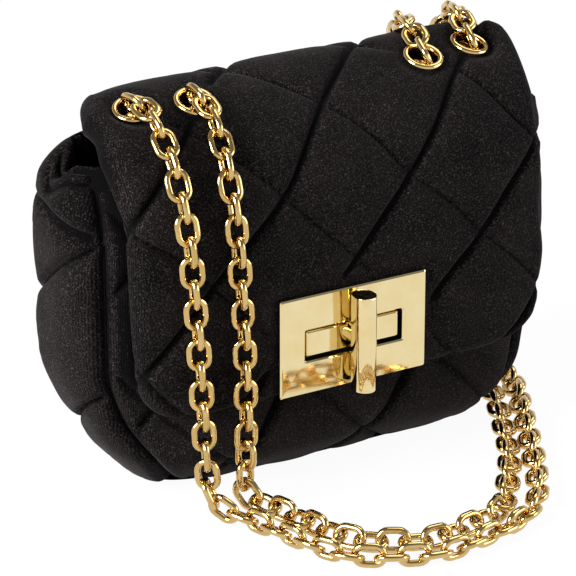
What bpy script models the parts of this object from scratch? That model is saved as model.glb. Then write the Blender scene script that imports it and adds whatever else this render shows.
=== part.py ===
"""Quilted velvet crossbody purse: padded bag, lidded by a flap with a turn lock, on a chain strap."""
import math

import bmesh
import bpy
from mathutils import Matrix, Vector

# Bag body: a soft box, front facing -Y, standing on its flat base (metres)
BODY_HALF_W = 0.0895
BODY_FRONT = 0.026
BODY_BACK = 0.031
RIDGE_Z = 0.135
MOUTH_DROP = 0.032
MOUTH_Z = RIDGE_Z - MOUTH_DROP
BASE_HALF_W = 0.057
BASE_HALF_D = 0.012
BASE_ROUND = 0.021
CORNER_RISE = 0.048
CORNER_POWER = 1.5
SECTION_POWER = 3.5
BELLY = 0.0065
PANEL_T = 0.005
GUSSET_TURN = 0.0075
BASE_SEAM_Z = 0.002
SEAM_GAP = 0.0008

# Inside of the bag
LINING_GAP = 0.003
LINING_T = 0.001
BOARD_T = 0.0018
BOARD_MARGIN = 0.003

# Flap: over the ridge from the fold at the back, down the front to its lower edge
RIDGE_Y = 0.006
REAR_R = 0.025
FOLD_Y = 0.012
FLAP_FRONT = 0.035
FLAP_EDGE_Z = 0.034
FLAP_SIDE_INSET = 0.0135
FLAP_HALF_W = BODY_HALF_W - FLAP_SIDE_INSET
FLAP_SPREAD = 0.005
FLAP_TOP_HALF_W = FLAP_HALF_W + FLAP_SPREAD
REAR_TAPER = 0.015
TAPER_LEAD = 0.0064
FLAP_CORNER_R = 0.016
FLAP_DROOP = 0.007
DROOP_POWER = 8
PAD_T = 0.0047
PAD_GAP = 0.0005
FLAP_LINING_T = 0.0007
LINING_MARGIN = 0.0015
LAYER_GAP = 0.0003

# Quilting: padded diamonds between crossing rows of stitches
DIAMOND_HALF_W = 0.0255
DIAMOND_HALF_H = 0.0275
DIAMOND_STEPS = 4
STITCH_DEPTH = 0.0020
PUFF = 0.0010
PUFF_FULL = 0.72
PUFF_POWER = 2.6
LEAST_END_STEP = 0.4
FLAP_NODE_RUN = 0.0444
BACK_NODE_Z = 0.070
QUILT_FADE = 0.008
CORNER_FADE = 0.035

# Turn lock: plate on the flap, boss and turning bar on the bag
LOCK_Z = 0.052
PLATE_W = 0.056
PLATE_H = 0.035
PLATE_T = 0.0015
SLOT_W = 0.0374
SLOT_H = 0.0111
BOSS_CLEAR = 0.001
BOSS_SINK = 0.0008
FLANGE_W = 0.044
FLANGE_H = 0.022
FLANGE_T = 0.0012
WINDOW_CLEAR = 0.0008
FRAME_T = 0.0008
FRAME_MARGIN = 0.001
POST_R = 0.001
POST_INSET = 0.0035
POST_OUT = 0.0004
SPINDLE_R = 0.0025
SPINDLE_CLEAR = 0.0003
BAR_W = 0.0082
BAR_D = 0.0096
BAR_L = 0.034
BAR_STANDOFF = 0.0013
BACK_PLATE_W = 0.034
BACK_PLATE_H = 0.018
BACK_PLATE_T = 0.0008
CLIP_R = 0.0045
CLIP_T = 0.0007
CLIP_SEAT = 0.0002

# Eyelets: two pairs along the top of the flap
EYELET_OUTER_INSET = 0.017
EYELET_INNER_INSET = 0.0375
EYELET_OUTER_X = FLAP_TOP_HALF_W - EYELET_OUTER_INSET
EYELET_INNER_X = FLAP_TOP_HALF_W - EYELET_INNER_INSET
EYELET_XS = (-EYELET_OUTER_X, -EYELET_INNER_X, EYELET_INNER_X, EYELET_OUTER_X)
EYELET_NAMES = ("left_outer", "left_inner", "right_inner", "right_outer")
EYELET_OUTER_Y = -0.0046
EYELET_INNER_Y = -0.0078
EYELET_YS = (EYELET_OUTER_Y, EYELET_INNER_Y, EYELET_INNER_Y, EYELET_OUTER_Y)
EYELET_R = 0.007
EYELET_HOLE_R = 0.0047
EYELET_WALL = 0.0006
EYELET_RISE = 0.0013
EYELET_TAIL = 0.0026
EYELET_CLEAR = 0.0004
WASHER_T = 0.0007
WASHER_DROP = 0.0013

# Chain strap, drawn as plain tubes along its two strands and its two turns under the flap.
# Each strand hangs from a left eyelet, lies on the floor and rises to a right one: x is from
# the eyelet where it hangs and rises, and from the bag's middle on the floor.
CHAIN_R = 0.0031
CHAIN_END_DEPTH = 0.001
CHAIN_LEAD = 0.0055
CHAIN_STEP = 0.014
TURN_DEPTH = 0.013
TURN_STEPS = 8
OUTER_HANG = (
    (0.0005, -0.0115, 0.1371), (0.0008, -0.0170, 0.1340), (0.0009, -0.0250, 0.1273),
    (0.0005, -0.0325, 0.1183), (0.0008, -0.0385, 0.1040), (0.0016, -0.0403, 0.0880),
    (0.0034, -0.0408, 0.0600), (0.0045, -0.0412, 0.0350), (0.0056, -0.0416, 0.0170),
    (0.0068, -0.0418, 0.0090),
)
OUTER_FLOOR = (
    (-0.0545, -0.0450, 0.0040), (-0.0499, -0.0531, 0.0034), (-0.0456, -0.0657, 0.0034),
    (-0.0409, -0.0800, 0.0034), (-0.0337, -0.0925, 0.0034), (-0.0217, -0.1000, 0.0034),
    (-0.0085, -0.1050, 0.0034), (0.0030, -0.1042, 0.0034), (0.0125, -0.1020, 0.0034),
    (0.0231, -0.0995, 0.0034), (0.0335, -0.0943, 0.0034), (0.0428, -0.0841, 0.0034),
    (0.0523, -0.0688, 0.0034), (0.0612, -0.0523, 0.0034), (0.0696, -0.0361, 0.0034),
    (0.0776, -0.0204, 0.0034), (0.0845, -0.0040, 0.0034), (0.0870, 0.0160, 0.0034),
    (0.0845, 0.0370, 0.0038), (0.0760, 0.0470, 0.0110),
)
OUTER_RISE = (
    (0.0060, 0.0440, 0.0280), (0.0070, 0.0400, 0.0550), (0.0085, 0.0370, 0.0850),
    (0.0095, 0.0362, 0.1080), (0.0100, 0.0328, 0.1230), (0.0080, 0.0220, 0.1349),
    (0.0035, 0.0100, 0.1393), (0.0005, 0.0020, 0.1402),
)
INNER_HANG = (
    (0.0002, -0.0140, 0.1361), (0.0002, -0.0185, 0.1333), (-0.0005, -0.0250, 0.1275),
    (-0.0020, -0.0325, 0.1187), (-0.0023, -0.0385, 0.1040), (-0.0019, -0.0403, 0.0880),
    (-0.0005, -0.0408, 0.0600), (-0.0001, -0.0410, 0.0350), (-0.0004, -0.0412, 0.0170),
    (-0.0006, -0.0410, 0.0090),
)
INNER_FLOOR = (
    (-0.0430, -0.0425, 0.0040), (-0.0402, -0.0478, 0.0034), (-0.0357, -0.0585, 0.0034),
    (-0.0322, -0.0718, 0.0034), (-0.0267, -0.0834, 0.0034), (-0.0165, -0.0909, 0.0034),
    (-0.0055, -0.0954, 0.0034), (0.0059, -0.0940, 0.0034), (0.0174, -0.0915, 0.0034),
    (0.0266, -0.0870, 0.0034), (0.0356, -0.0765, 0.0034), (0.0474, -0.0602, 0.0034),
    (0.0563, -0.0450, 0.0034), (0.0637, -0.0303, 0.0034), (0.0705, -0.0160, 0.0034),
    (0.0755, -0.0010, 0.0034), (0.0755, 0.0160, 0.0034), (0.0680, 0.0310, 0.0038),
    (0.0580, 0.0385, 0.0090),
)
INNER_RISE = (
    (0.0090, 0.0390, 0.0250), (0.0095, 0.0375, 0.0550), (0.0115, 0.0362, 0.0850),
    (0.0130, 0.0362, 0.1080), (0.0125, 0.0328, 0.1230), (0.0090, 0.0220, 0.1349),
    (0.0035, 0.0100, 0.1393), (0.0012, 0.0020, 0.1403), (0.0002, -0.0040, 0.1396),
)

# Colours of the materials: (red, green, blue), roughness, metallic
VELVET = ((0.012, 0.012, 0.013), 0.9, 0.0)
SATIN = ((0.02, 0.02, 0.022), 0.6, 0.0)
GOLD = ((0.83, 0.61, 0.25), 0.18, 1.0)
STEEL = ((0.6, 0.58, 0.52), 0.35, 1.0)
BOARD = ((0.16, 0.14, 0.12), 0.85, 0.0)

ROUND_SHARE = 0.4
PANEL_COLUMNS = 12
PANEL_ROWS = 11
GUSSET_COLUMNS = 6
DISH_CELLS = 16
DISH_FLAT_SHARE = 0.25
BASE_CELLS = 8
BASE_FLAT_SHARE = 0.75
ROUTE_FINENESS = 12
ROUND_SIDES = 20
POST_SIDES = 8

for old in list(bpy.data.objects):
    bpy.data.objects.remove(old)

purse = bpy.data.collections.new("crossbody_purse")
cutters = bpy.data.collections.new("cutters")
bpy.context.scene.collection.children.link(purse)
bpy.context.scene.collection.children.link(cutters)


def coat(obj, look):
    """Give an object its own Principled material."""
    colour, roughness, metallic = look
    material = bpy.data.materials.new(obj.name + "_material")
    material.use_nodes = True
    shader = material.node_tree.nodes["Principled BSDF"]
    shader.inputs["Base Color"].default_value = (*colour, 1.0)
    shader.inputs["Roughness"].default_value = roughness
    shader.inputs["Metallic"].default_value = metallic
    obj.data.materials.append(material)
    return obj


def add_mesh(name, form, home):
    """Link a bmesh as a named object."""
    mesh = bpy.data.meshes.new(name)
    form.to_mesh(mesh)
    form.free()
    obj = bpy.data.objects.new(name, mesh)
    home.objects.link(obj)
    return obj


def fold_inward(form):
    """Split each four-sided face along the diagonal that lies deeper, so that creases follow the stitches."""
    for face in [face for face in form.faces if len(face.verts) == 4]:
        a, b, c, d = face.verts
        lift = (a.co + c.co - b.co - d.co).dot(face.normal)
        ends = (a, c) if lift < 0.0 else (b, d)
        bmesh.utils.face_split(face, *ends)


def sheet(name, columns, rows, point_at, thickness, look, quilted=False):
    """A padded sheet: an extruded grid laid by point_at(u, v, depth), u from -1 to 1 and v from 0 to 1."""
    form = bmesh.new()
    bmesh.ops.create_grid(form, x_segments=columns, y_segments=rows, size=1.0)
    under = bmesh.ops.extrude_face_region(form, geom=form.faces[:])["geom"]
    under = {vert for vert in under if isinstance(vert, bmesh.types.BMVert)}
    for vert in form.verts:
        vert.co = point_at(vert.co.x, (vert.co.y + 1.0) / 2.0, thickness if vert in under else 0.0)
    bmesh.ops.recalc_face_normals(form, faces=form.faces[:])
    if quilted:
        fold_inward(form)
    return coat(add_mesh(name, form, purse), look)


def block(name, low, high, home=purse):
    """A box between two corners."""
    form = bmesh.new()
    bmesh.ops.create_cube(form, size=1.0)
    size = Vector(high) - Vector(low)
    middle = (Vector(high) + Vector(low)) / 2.0
    place = Matrix.Translation(middle) @ Matrix.Diagonal((*size, 1.0))
    bmesh.ops.transform(form, matrix=place, verts=form.verts)
    return add_mesh(name, form, home)


def rod(name, start, end, radius, sides, home=purse):
    """A capped cylinder between two points."""
    start, end = Vector(start), Vector(end)
    form = bmesh.new()
    bmesh.ops.create_cone(
        form, cap_ends=True, segments=sides, radius1=radius, radius2=radius, depth=(end - start).length
    )
    turn = (end - start).to_track_quat("Z", "Y").to_matrix().to_4x4()
    bmesh.ops.transform(form, matrix=Matrix.Translation((start + end) / 2.0) @ turn, verts=form.verts)
    return add_mesh(name, form, home)


def as_cutter(obj):
    """Mark an object as a tool shape that only cuts or joins others."""
    obj.hide_render = True
    obj.display_type = "WIRE"
    return obj


def combine(obj, other, operation):
    """Cut another shape out of an object, or join it on."""
    step = obj.modifiers.new(operation.lower() + "_" + other.name, "BOOLEAN")
    step.operation = operation
    step.object = other
    step.solver = "EXACT"


def turned(name, profile, place, look):
    """A ring: a closed profile of (radius, height) points, outer side first from the top, turned about Z."""
    form = bmesh.new()
    verts = [form.verts.new((radius, 0.0, height)) for radius, height in profile]
    for here, after in zip(verts, verts[1:] + verts[:1]):
        form.edges.new((here, after))
    obj = add_mesh(name, form, purse)
    screw = obj.modifiers.new("turn", "SCREW")
    screw.steps = screw.render_steps = ROUND_SIDES
    screw.use_merge_vertices = True
    screw.merge_threshold = 0.00001
    obj.matrix_world = place
    return coat(obj, look)


# Quilting, from the middle of a crossing of two rows of stitches


def smooth(share):
    """A smooth rise from 0 to 1."""
    share = min(max(share, 0.0), 1.0)
    return share * share * (3.0 - 2.0 * share)


def quilt(across, along):
    """Height of the quilted cloth over a plain one: low on the stitches, full inside each diamond."""
    rise = 1.0
    for slant in (-1.0, 1.0):
        rows = across / DIAMOND_HALF_W + slant * along / DIAMOND_HALF_H
        off_stitch = abs(rows - 2.0 * round(rows / 2.0))
        rise *= 1.0 - (1.0 - min(off_stitch / PUFF_FULL, 1.0)) ** PUFF_POWER
    return (PUFF + STITCH_DEPTH) * math.sqrt(rise) - STITCH_DEPTH


def ladder(low, high, node, step):
    """Places from low to high, in even steps through a node, with half steps at both ends."""
    first = math.ceil((low - node) / step + LEAST_END_STEP)
    last = math.floor((high - node) / step - LEAST_END_STEP)
    rungs = [node + step * k for k in range(first, last + 1)]
    return [low, (low + rungs[0]) / 2.0, *rungs, (rungs[-1] + high) / 2.0, high]


def pick(places, share):
    """The place at a share of the way along a list."""
    return places[round(share * (len(places) - 1))]


quilt_step_x = DIAMOND_HALF_W / DIAMOND_STEPS
quilt_step_z = DIAMOND_HALF_H / DIAMOND_STEPS


# Bag body surface

back_top_z = RIDGE_Z - REAR_R - SEAM_GAP


def body_half_width(z):
    """Half width at a height: narrow at the base, full above the rounded lower corners."""
    rise = min(max(z / CORNER_RISE, 0.0), 1.0)
    swell = (1.0 - (1.0 - rise) ** CORNER_POWER) ** (1.0 / CORNER_POWER)
    return BASE_HALF_W + (BODY_HALF_W - BASE_HALF_W) * swell


def body_section(z):
    """Half width, half depth and middle of the body's plan outline at a height."""
    rise = min(max(z / BASE_ROUND, 0.0), 1.0)
    swell = math.sqrt(1.0 - (1.0 - rise) ** 2)
    belly = BELLY * math.sin(math.pi * min(max(z / FLAP_EDGE_Z, 0.0), 1.0)) ** 2
    front = BASE_HALF_D + (BODY_FRONT + belly - BASE_HALF_D) * swell
    back = BASE_HALF_D + (BODY_BACK - BASE_HALF_D) * swell
    return body_half_width(z), (front + back) / 2.0, (back - front) / 2.0


def other_half(share):
    """Height of a unit superellipse at a share of its half width."""
    return (1.0 - min(abs(share), 1.0) ** SECTION_POWER) ** (1.0 / SECTION_POWER)


def outward(point):
    """Unit normal of the body's side surface, from the slope of its outline with height."""
    step = 1e-6

    def level(x, y, z):
        half_w, half_d, middle = body_section(z)
        return (abs(x) / half_w) ** SECTION_POWER + (abs(y - middle) / half_d) ** SECTION_POWER

    x, y, z = point
    here = level(x, y, z)
    slope = Vector((level(x + step, y, z) - here, level(x, y + step, z) - here, level(x, y, z + step) - here))
    return slope.normalized()


def side_height(v, low, high):
    """Height up the side for v from 0 to 1, with closer steps round the base."""
    if v < ROUND_SHARE:
        return max(low, BASE_ROUND * (1.0 - math.cos(math.pi / 2.0 * v / ROUND_SHARE)))
    return BASE_ROUND + (high - BASE_ROUND) * (v - ROUND_SHARE) / (1.0 - ROUND_SHARE)


def wall_height(v, top):
    """Height on the front, back and side panels, between the base seam and their top edge."""
    lowest = BASE_SEAM_Z + SEAM_GAP
    start = math.acos(1.0 - lowest / BASE_ROUND) / (math.pi / 2.0) * ROUND_SHARE
    return side_height(start + (1.0 - start) * v, lowest, top)


def seam_x(z):
    """Half width at the seam between the front or back panel and a gusset."""
    return body_half_width(z) - GUSSET_TURN


def front_layer(u, v, depth):
    """The front panel's surface."""
    z = wall_height(v, MOUTH_Z)
    half_w, half_d, middle = body_section(z)
    x = u * (seam_x(z) - SEAM_GAP / 2.0)
    point = Vector((x, middle - half_d * other_half(x / half_w), z))
    return point - depth * outward(point)


back_half_w = BODY_HALF_W - GUSSET_TURN
back_low_z = BASE_SEAM_Z + SEAM_GAP
back_columns = ladder(-back_half_w, back_half_w, 0.0, quilt_step_x)
back_rows = ladder(back_low_z, back_top_z, BACK_NODE_Z, quilt_step_z)


def quilted_back(u, v, depth):
    """The back panel's surface, quilted on its outer face."""
    across = pick(back_columns, (u + 1.0) / 2.0)
    z = pick(back_rows, v)
    half_w, half_d, middle = body_section(z)
    x = -across / back_half_w * (seam_x(z) - SEAM_GAP / 2.0)
    point = Vector((x, middle + half_d * other_half(x / half_w), z))
    to_edge = min(back_half_w - abs(across), z - back_low_z, back_top_z - z)
    rise = quilt(across, z - BACK_NODE_Z) * smooth(to_edge / QUILT_FADE) if depth == 0.0 else 0.0
    return point + (rise - depth) * outward(point)


def gusset_panel(side):
    """A side panel's surface, left (side -1) or right (side +1)."""

    def point_at(u, v, depth):
        z = wall_height(v, back_top_z)
        half_w, half_d, middle = body_section(z)
        reach = half_d * other_half(seam_x(z) / half_w) - SEAM_GAP / 2.0
        y = side * u * reach
        point = Vector((side * half_w * other_half(y / half_d), middle + y, z))
        return point - depth * outward(point)

    return point_at


def dish(flat_share, top, inset):
    """A bowl inside the body's outline: flat base, then up the side to a height."""

    def point_at(u, v, depth):
        sink = inset + depth
        a, b = -u, 2.0 * v - 1.0
        ring = max(abs(a), abs(b))
        if ring < 1e-9:
            return Vector((0.0, 0.0, sink))
        a, b = a / ring, b / ring
        reach = (abs(a) ** SECTION_POWER + abs(b) ** SECTION_POWER) ** (-1.0 / SECTION_POWER)
        if ring <= flat_share:
            share = reach * ring / flat_share
            return Vector((a * share * BASE_HALF_W, b * share * BASE_HALF_D, sink))
        z = top((ring - flat_share) / (1.0 - flat_share))
        half_w, half_d, middle = body_section(z)
        point = Vector((a * reach * half_w, middle + b * reach * half_d, z))
        return point - sink * outward(point)

    return point_at


def board_layer(u, v, depth):
    """The flat stiffener that lies on the base panel."""
    a, b = -u, 2.0 * v - 1.0
    ring = max(abs(a), abs(b))
    z = PANEL_T + LAYER_GAP + depth
    if ring < 1e-9:
        return Vector((0.0, 0.0, z))
    reach = (abs(a / ring) ** SECTION_POWER + abs(b / ring) ** SECTION_POWER) ** (-1.0 / SECTION_POWER)
    return Vector((a * reach * (BASE_HALF_W - BOARD_MARGIN), b * reach * (BASE_HALF_D - BOARD_MARGIN), z))


# Flap surface: an arc over the ridge, then straight down the front


front_r = FLAP_FRONT + RIDGE_Y
front_top_z = RIDGE_Z - front_r
fold_turn = math.asin((FOLD_Y - RIDGE_Y) / REAR_R)
fold_z = RIDGE_Z - REAR_R * (1.0 - math.cos(fold_turn))
front_run = front_top_z - FLAP_EDGE_Z
arc_run = front_r * math.pi / 2.0
flap_run = front_run + arc_run + REAR_R * fold_turn
back_seam_run = front_run + arc_run + REAR_R * math.pi / 2.0
taper_run = front_run + arc_run - TAPER_LEAD


def flap_profile(run):
    """Point (y, z) and outward direction (y, z), at a run up from the lower edge and over to the fold."""
    if run <= front_run:
        return (-FLAP_FRONT, FLAP_EDGE_Z + run), (-1.0, 0.0)
    if run <= front_run + arc_run:
        turn = (run - front_run) / front_r
        out = (-math.cos(turn), math.sin(turn))
        return (RIDGE_Y + front_r * out[0], front_top_z + front_r * out[1]), out
    turn = (run - front_run - arc_run) / REAR_R
    out = (math.sin(turn), math.cos(turn))
    return (RIDGE_Y + REAR_R * out[0], RIDGE_Z - REAR_R + REAR_R * out[1]), out


def flap_half_width(run):
    """Half width of the flap: wider towards the fold, and drawn in behind the ridge."""
    behind = max(0.0, run - taper_run) / (back_seam_run - taper_run)
    return FLAP_HALF_W + FLAP_SPREAD * min(run / flap_run, 1.0) - REAR_TAPER * behind


def droop(x, half_w):
    """How far the flap's surface falls inward towards its sides."""
    return FLAP_DROOP * (abs(x) / half_w) ** DROOP_POWER


def flap_point(x, run, inset=0.0):
    """A point on the flap's outer surface, or under it."""
    (y, z), (out_y, out_z) = flap_profile(run)
    sink = droop(x, flap_half_width(run)) + inset
    return Vector((x, y - sink * out_y, z - sink * out_z))


def flap_normal(x, run):
    """Outward direction square to the flap's surface."""
    step = 1e-5
    along = flap_point(x, run + step) - flap_point(x, run - step)
    across = flap_point(x + step, run) - flap_point(x - step, run)
    return across.cross(along).normalized()


eyelet_runs = [front_run + front_r * math.acos((RIDGE_Y - y) / front_r) for y in EYELET_YS]
flap_columns = ladder(-FLAP_HALF_W, FLAP_HALF_W, 0.0, quilt_step_x)
flap_rows = ladder(0.0, flap_run - SEAM_GAP / 2.0, FLAP_NODE_RUN, quilt_step_z)
strip_rows = ladder(flap_run + SEAM_GAP / 2.0, back_seam_run, FLAP_NODE_RUN, quilt_step_z)
lattice_edge = flap_columns[-3]


def flap_column(u, half_w):
    """Place across the flap: on the quilting's lattice, and spread beyond it up to the side."""
    x = pick(flap_columns, (u + 1.0) / 2.0)
    shrink = min(1.0, half_w / (FLAP_HALF_W - LINING_MARGIN))
    spread = (half_w - shrink * lattice_edge) / (FLAP_HALF_W - lattice_edge)
    past = max(0.0, abs(x) - lattice_edge) * spread
    return math.copysign(shrink * min(abs(x), lattice_edge) + past, x)


def flap_quilt(x, run):
    """Height of the flap's quilting, flat under the lock plate, round the eyelets and at its seams."""
    off_plate = max(abs(x) - PLATE_W / 2.0, abs(run + FLAP_EDGE_Z - LOCK_Z) - PLATE_H / 2.0)
    rise = quilt(x, run - FLAP_NODE_RUN) * smooth((off_plate - quilt_step_z) / quilt_step_z)
    for eyelet_x, eyelet_run in zip(EYELET_XS, eyelet_runs):
        off_eyelet = math.hypot(x - eyelet_x, run - eyelet_run)
        rise *= smooth((off_eyelet - EYELET_R) / quilt_step_z)
    return rise * smooth(min(abs(run - flap_run), back_seam_run - run) / QUILT_FADE)


def flap_layer(inset, margin, quilted):
    """The flap's surface with rounded lower corners, set under the outer face and back from the edges."""

    def point_at(u, v, depth):
        row = pick(flap_rows, v)
        x = flap_column(u, flap_half_width(row) - margin)
        past = max(0.0, abs(x) - (FLAP_HALF_W - margin - FLAP_CORNER_R))
        lift = FLAP_CORNER_R - math.sqrt(max(0.0, FLAP_CORNER_R ** 2 - past ** 2))
        run = row + (margin + lift) * max(0.0, 1.0 - row / CORNER_FADE)
        rise = flap_quilt(x, run) if quilted and depth == 0.0 else 0.0
        return flap_point(x, run, inset + depth - rise)

    return point_at


def strip_layer(u, v, depth):
    """The flap's rear strip, which stays on the bag: from the fold down to the back panel's top edge."""
    run = pick(strip_rows, v)
    x = flap_column(u, flap_half_width(run))
    rise = flap_quilt(x, run) if depth == 0.0 else 0.0
    return flap_point(x, run, depth - rise)


# Lock layers, by their distance in front of the bag's middle plane

flange_front = BODY_FRONT + LAYER_GAP + FLANGE_T
lining_back = FLAP_FRONT - PAD_T - PAD_GAP - FLAP_LINING_T
frame_front = lining_back - LAYER_GAP
frame_back = frame_front - FRAME_T
plate_back = FLAP_FRONT + LAYER_GAP
plate_front = plate_back + PLATE_T
boss_front = plate_front - BOSS_SINK
bar_back = plate_front + BAR_STANDOFF
panel_inside = BODY_FRONT - PANEL_T
back_plate_inside = panel_inside - LAYER_GAP - BACK_PLATE_T
clip_inside = back_plate_inside - LAYER_GAP - CLIP_T
window_w = SLOT_W + 2.0 * WINDOW_CLEAR
window_h = SLOT_H + 2.0 * WINDOW_CLEAR
post_x = PLATE_W / 2.0 - POST_INSET
post_z = PLATE_H / 2.0 - POST_INSET


def lock_block(name, width, height, front, back, home=purse):
    """A box on the lock's centre, between two distances in front of the middle plane."""
    low = (-width / 2.0, -front, LOCK_Z - height / 2.0)
    high = (width / 2.0, -back, LOCK_Z + height / 2.0)
    return block(name, low, high, home)


def lock_rod(name, radius, front, back, home=purse, x=0.0, z=0.0, sides=ROUND_SIDES):
    """A rod along Y at an offset from the lock's centre."""
    return rod(name, (x, -front, LOCK_Z + z), (x, -back, LOCK_Z + z), radius, sides, home)


def lock_posts(name, radius, front, back):
    """The four corner posts as one tool shape."""
    form = bmesh.new()
    for x in (-post_x, post_x):
        for z in (-post_z, post_z):
            middle = Vector((x, -(front + back) / 2.0, LOCK_Z + z))
            place = Matrix.Translation(middle) @ Matrix.Rotation(math.pi / 2.0, 4, "X")
            bmesh.ops.create_cone(
                form, cap_ends=True, segments=POST_SIDES, radius1=radius, radius2=radius,
                depth=front - back, matrix=place,
            )
    return as_cutter(add_mesh(name, form, cutters))


through = 2.0 * FLAP_FRONT
window_tool = as_cutter(lock_block("window_tool", window_w, window_h, through, 0.0, cutters))
slot_tool = as_cutter(lock_block("slot_tool", SLOT_W, SLOT_H, through, 0.0, cutters))
spindle_tool = as_cutter(lock_rod("spindle_tool", SPINDLE_R + SPINDLE_CLEAR, through, 0.0, cutters))
post_hole_tool = lock_posts("post_hole_tool", POST_R + LAYER_GAP, plate_front, BODY_FRONT)
post_tool = lock_posts("post_tool", POST_R, plate_back + PLATE_T / 2.0, frame_back - POST_OUT)


# Eyelets and their washers

eyelet_out_r = EYELET_HOLE_R + EYELET_WALL
flap_depth = PAD_T + PAD_GAP + FLAP_LINING_T
eyelet_places = {}
eyelet_tools = []
for name, x, run in zip(EYELET_NAMES, EYELET_XS, eyelet_runs):
    axis = flap_normal(x, run)
    place = Matrix.Translation(flap_point(x, run)) @ axis.to_track_quat("Z", "Y").to_matrix().to_4x4()
    eyelet_places[name] = place
    flange_low = LAYER_GAP
    tail = -(flap_depth + EYELET_TAIL)
    lip = EYELET_RISE / 2.0
    turned(
        "eyelet_" + name,
        (
            (EYELET_HOLE_R + EYELET_WALL, EYELET_RISE + flange_low),
            (EYELET_R - lip, EYELET_RISE + flange_low),
            (EYELET_R, lip + flange_low),
            (EYELET_R, flange_low),
            (eyelet_out_r, flange_low),
            (eyelet_out_r, tail),
            (EYELET_HOLE_R, tail),
            (EYELET_HOLE_R, lip + flange_low),
        ),
        place,
        GOLD,
    )
    washer_top = -(flap_depth + WASHER_DROP)
    turned(
        "eyelet_washer_" + name,
        (
            (EYELET_R, washer_top),
            (EYELET_R, washer_top - WASHER_T),
            (eyelet_out_r + LAYER_GAP, washer_top - WASHER_T),
            (eyelet_out_r + LAYER_GAP, washer_top),
        ),
        place,
        GOLD,
    )
    ends = [place @ Vector((0.0, 0.0, height)) for height in (-2.0 * flap_depth, 2.0 * flap_depth)]
    tool = rod("eyelet_tool_" + name, ends[0], ends[1], eyelet_out_r + EYELET_CLEAR, ROUND_SIDES, cutters)
    eyelet_tools.append(as_cutter(tool))


# Bag body pieces

front_panel = sheet("front_panel", PANEL_COLUMNS, PANEL_ROWS, front_layer, PANEL_T, VELVET)
combine(front_panel, spindle_tool, "DIFFERENCE")
sheet("back_panel", len(back_columns) - 1, len(back_rows) - 1, quilted_back, PANEL_T, VELVET, True)
sheet("left_gusset", GUSSET_COLUMNS, PANEL_ROWS, gusset_panel(-1), PANEL_T, VELVET)
sheet("right_gusset", GUSSET_COLUMNS, PANEL_ROWS, gusset_panel(1), PANEL_T, VELVET)
flap_cells = len(flap_columns) - 1
sheet("flap_rear_strip", flap_cells, len(strip_rows) - 1, strip_layer, PAD_T, VELVET, True)
base_dish = dish(BASE_FLAT_SHARE, lambda v: BASE_SEAM_Z * v, 0.0)
sheet("base_panel", BASE_CELLS, BASE_CELLS, base_dish, PANEL_T, VELVET)
inside = PANEL_T + LINING_GAP
lining_dish = dish(DISH_FLAT_SHARE, lambda v: side_height(v, 0.0, MOUTH_Z), inside)
sheet("bag_lining", DISH_CELLS, DISH_CELLS, lining_dish, LINING_T, SATIN)
sheet("base_board", BASE_CELLS, BASE_CELLS, board_layer, BOARD_T, BOARD)

# Flap pieces

flap_lengths = len(flap_rows) - 1
flap_pad = sheet("flap_pad", flap_cells, flap_lengths, flap_layer(0.0, 0.0, True), PAD_T, VELVET, True)
under_pad = flap_layer(PAD_T + PAD_GAP, LINING_MARGIN, False)
flap_lining = sheet("flap_lining", flap_cells, flap_lengths, under_pad, FLAP_LINING_T, SATIN)
for layer in (flap_pad, flap_lining):
    for tool in [window_tool, post_hole_tool, *eyelet_tools]:
        combine(layer, tool, "DIFFERENCE")

# Turn lock pieces

lock_plate = coat(lock_block("lock_plate", PLATE_W, PLATE_H, plate_front, plate_back), GOLD)
combine(lock_plate, slot_tool, "DIFFERENCE")
combine(lock_plate, post_tool, "UNION")
frame_w = PLATE_W - 2.0 * FRAME_MARGIN
frame_h = PLATE_H - 2.0 * FRAME_MARGIN
lock_frame = coat(lock_block("lock_frame", frame_w, frame_h, frame_front, frame_back), STEEL)
combine(lock_frame, window_tool, "DIFFERENCE")
combine(lock_frame, post_hole_tool, "DIFFERENCE")

boss_w = SLOT_W - 2.0 * BOSS_CLEAR
boss_h = SLOT_H - 2.0 * BOSS_CLEAR
boss_tool = as_cutter(
    lock_block("boss_tool", boss_w, boss_h, boss_front, flange_front - FLANGE_T / 2.0, cutters)
)
lock_boss = coat(
    lock_block("lock_boss", FLANGE_W, FLANGE_H, flange_front, BODY_FRONT + LAYER_GAP), GOLD
)
combine(lock_boss, boss_tool, "UNION")
combine(lock_boss, spindle_tool, "DIFFERENCE")
back_plate_front = panel_inside - LAYER_GAP
back_plate = coat(
    lock_block("lock_back_plate", BACK_PLATE_W, BACK_PLATE_H, back_plate_front, back_plate_inside), STEEL
)
combine(back_plate, spindle_tool, "DIFFERENCE")

turn_axis = bpy.data.objects.new("turn_axis", None)
turn_axis.location = (0.0, -plate_front, LOCK_Z)
purse.objects.link(turn_axis)

turn_bar = rod(
    "turn_bar", (0.0, 0.0, -BAR_L / 2.0), (0.0, 0.0, BAR_L / 2.0), 1.0, ROUND_SIDES
)
turn_bar.data.transform(Matrix.Diagonal((BAR_W / 2.0, BAR_D / 2.0, 1.0, 1.0)))
bar_middle = bar_back + BAR_D / 2.0
turn_bar.parent = turn_axis
turn_bar.location = (0.0, plate_front - bar_middle, 0.0)
coat(turn_bar, GOLD)
clip_seat_end = clip_inside - CLIP_SEAT
spindle_join = as_cutter(lock_rod("spindle_join", SPINDLE_R, bar_middle, clip_seat_end, cutters))
combine(turn_bar, spindle_join, "UNION")

turn_clip = lock_rod("turn_clip", CLIP_R, back_plate_inside - LAYER_GAP, clip_inside)
combine(turn_clip, spindle_tool, "DIFFERENCE")
coat(turn_clip, STEEL)


# Chain strap


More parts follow.
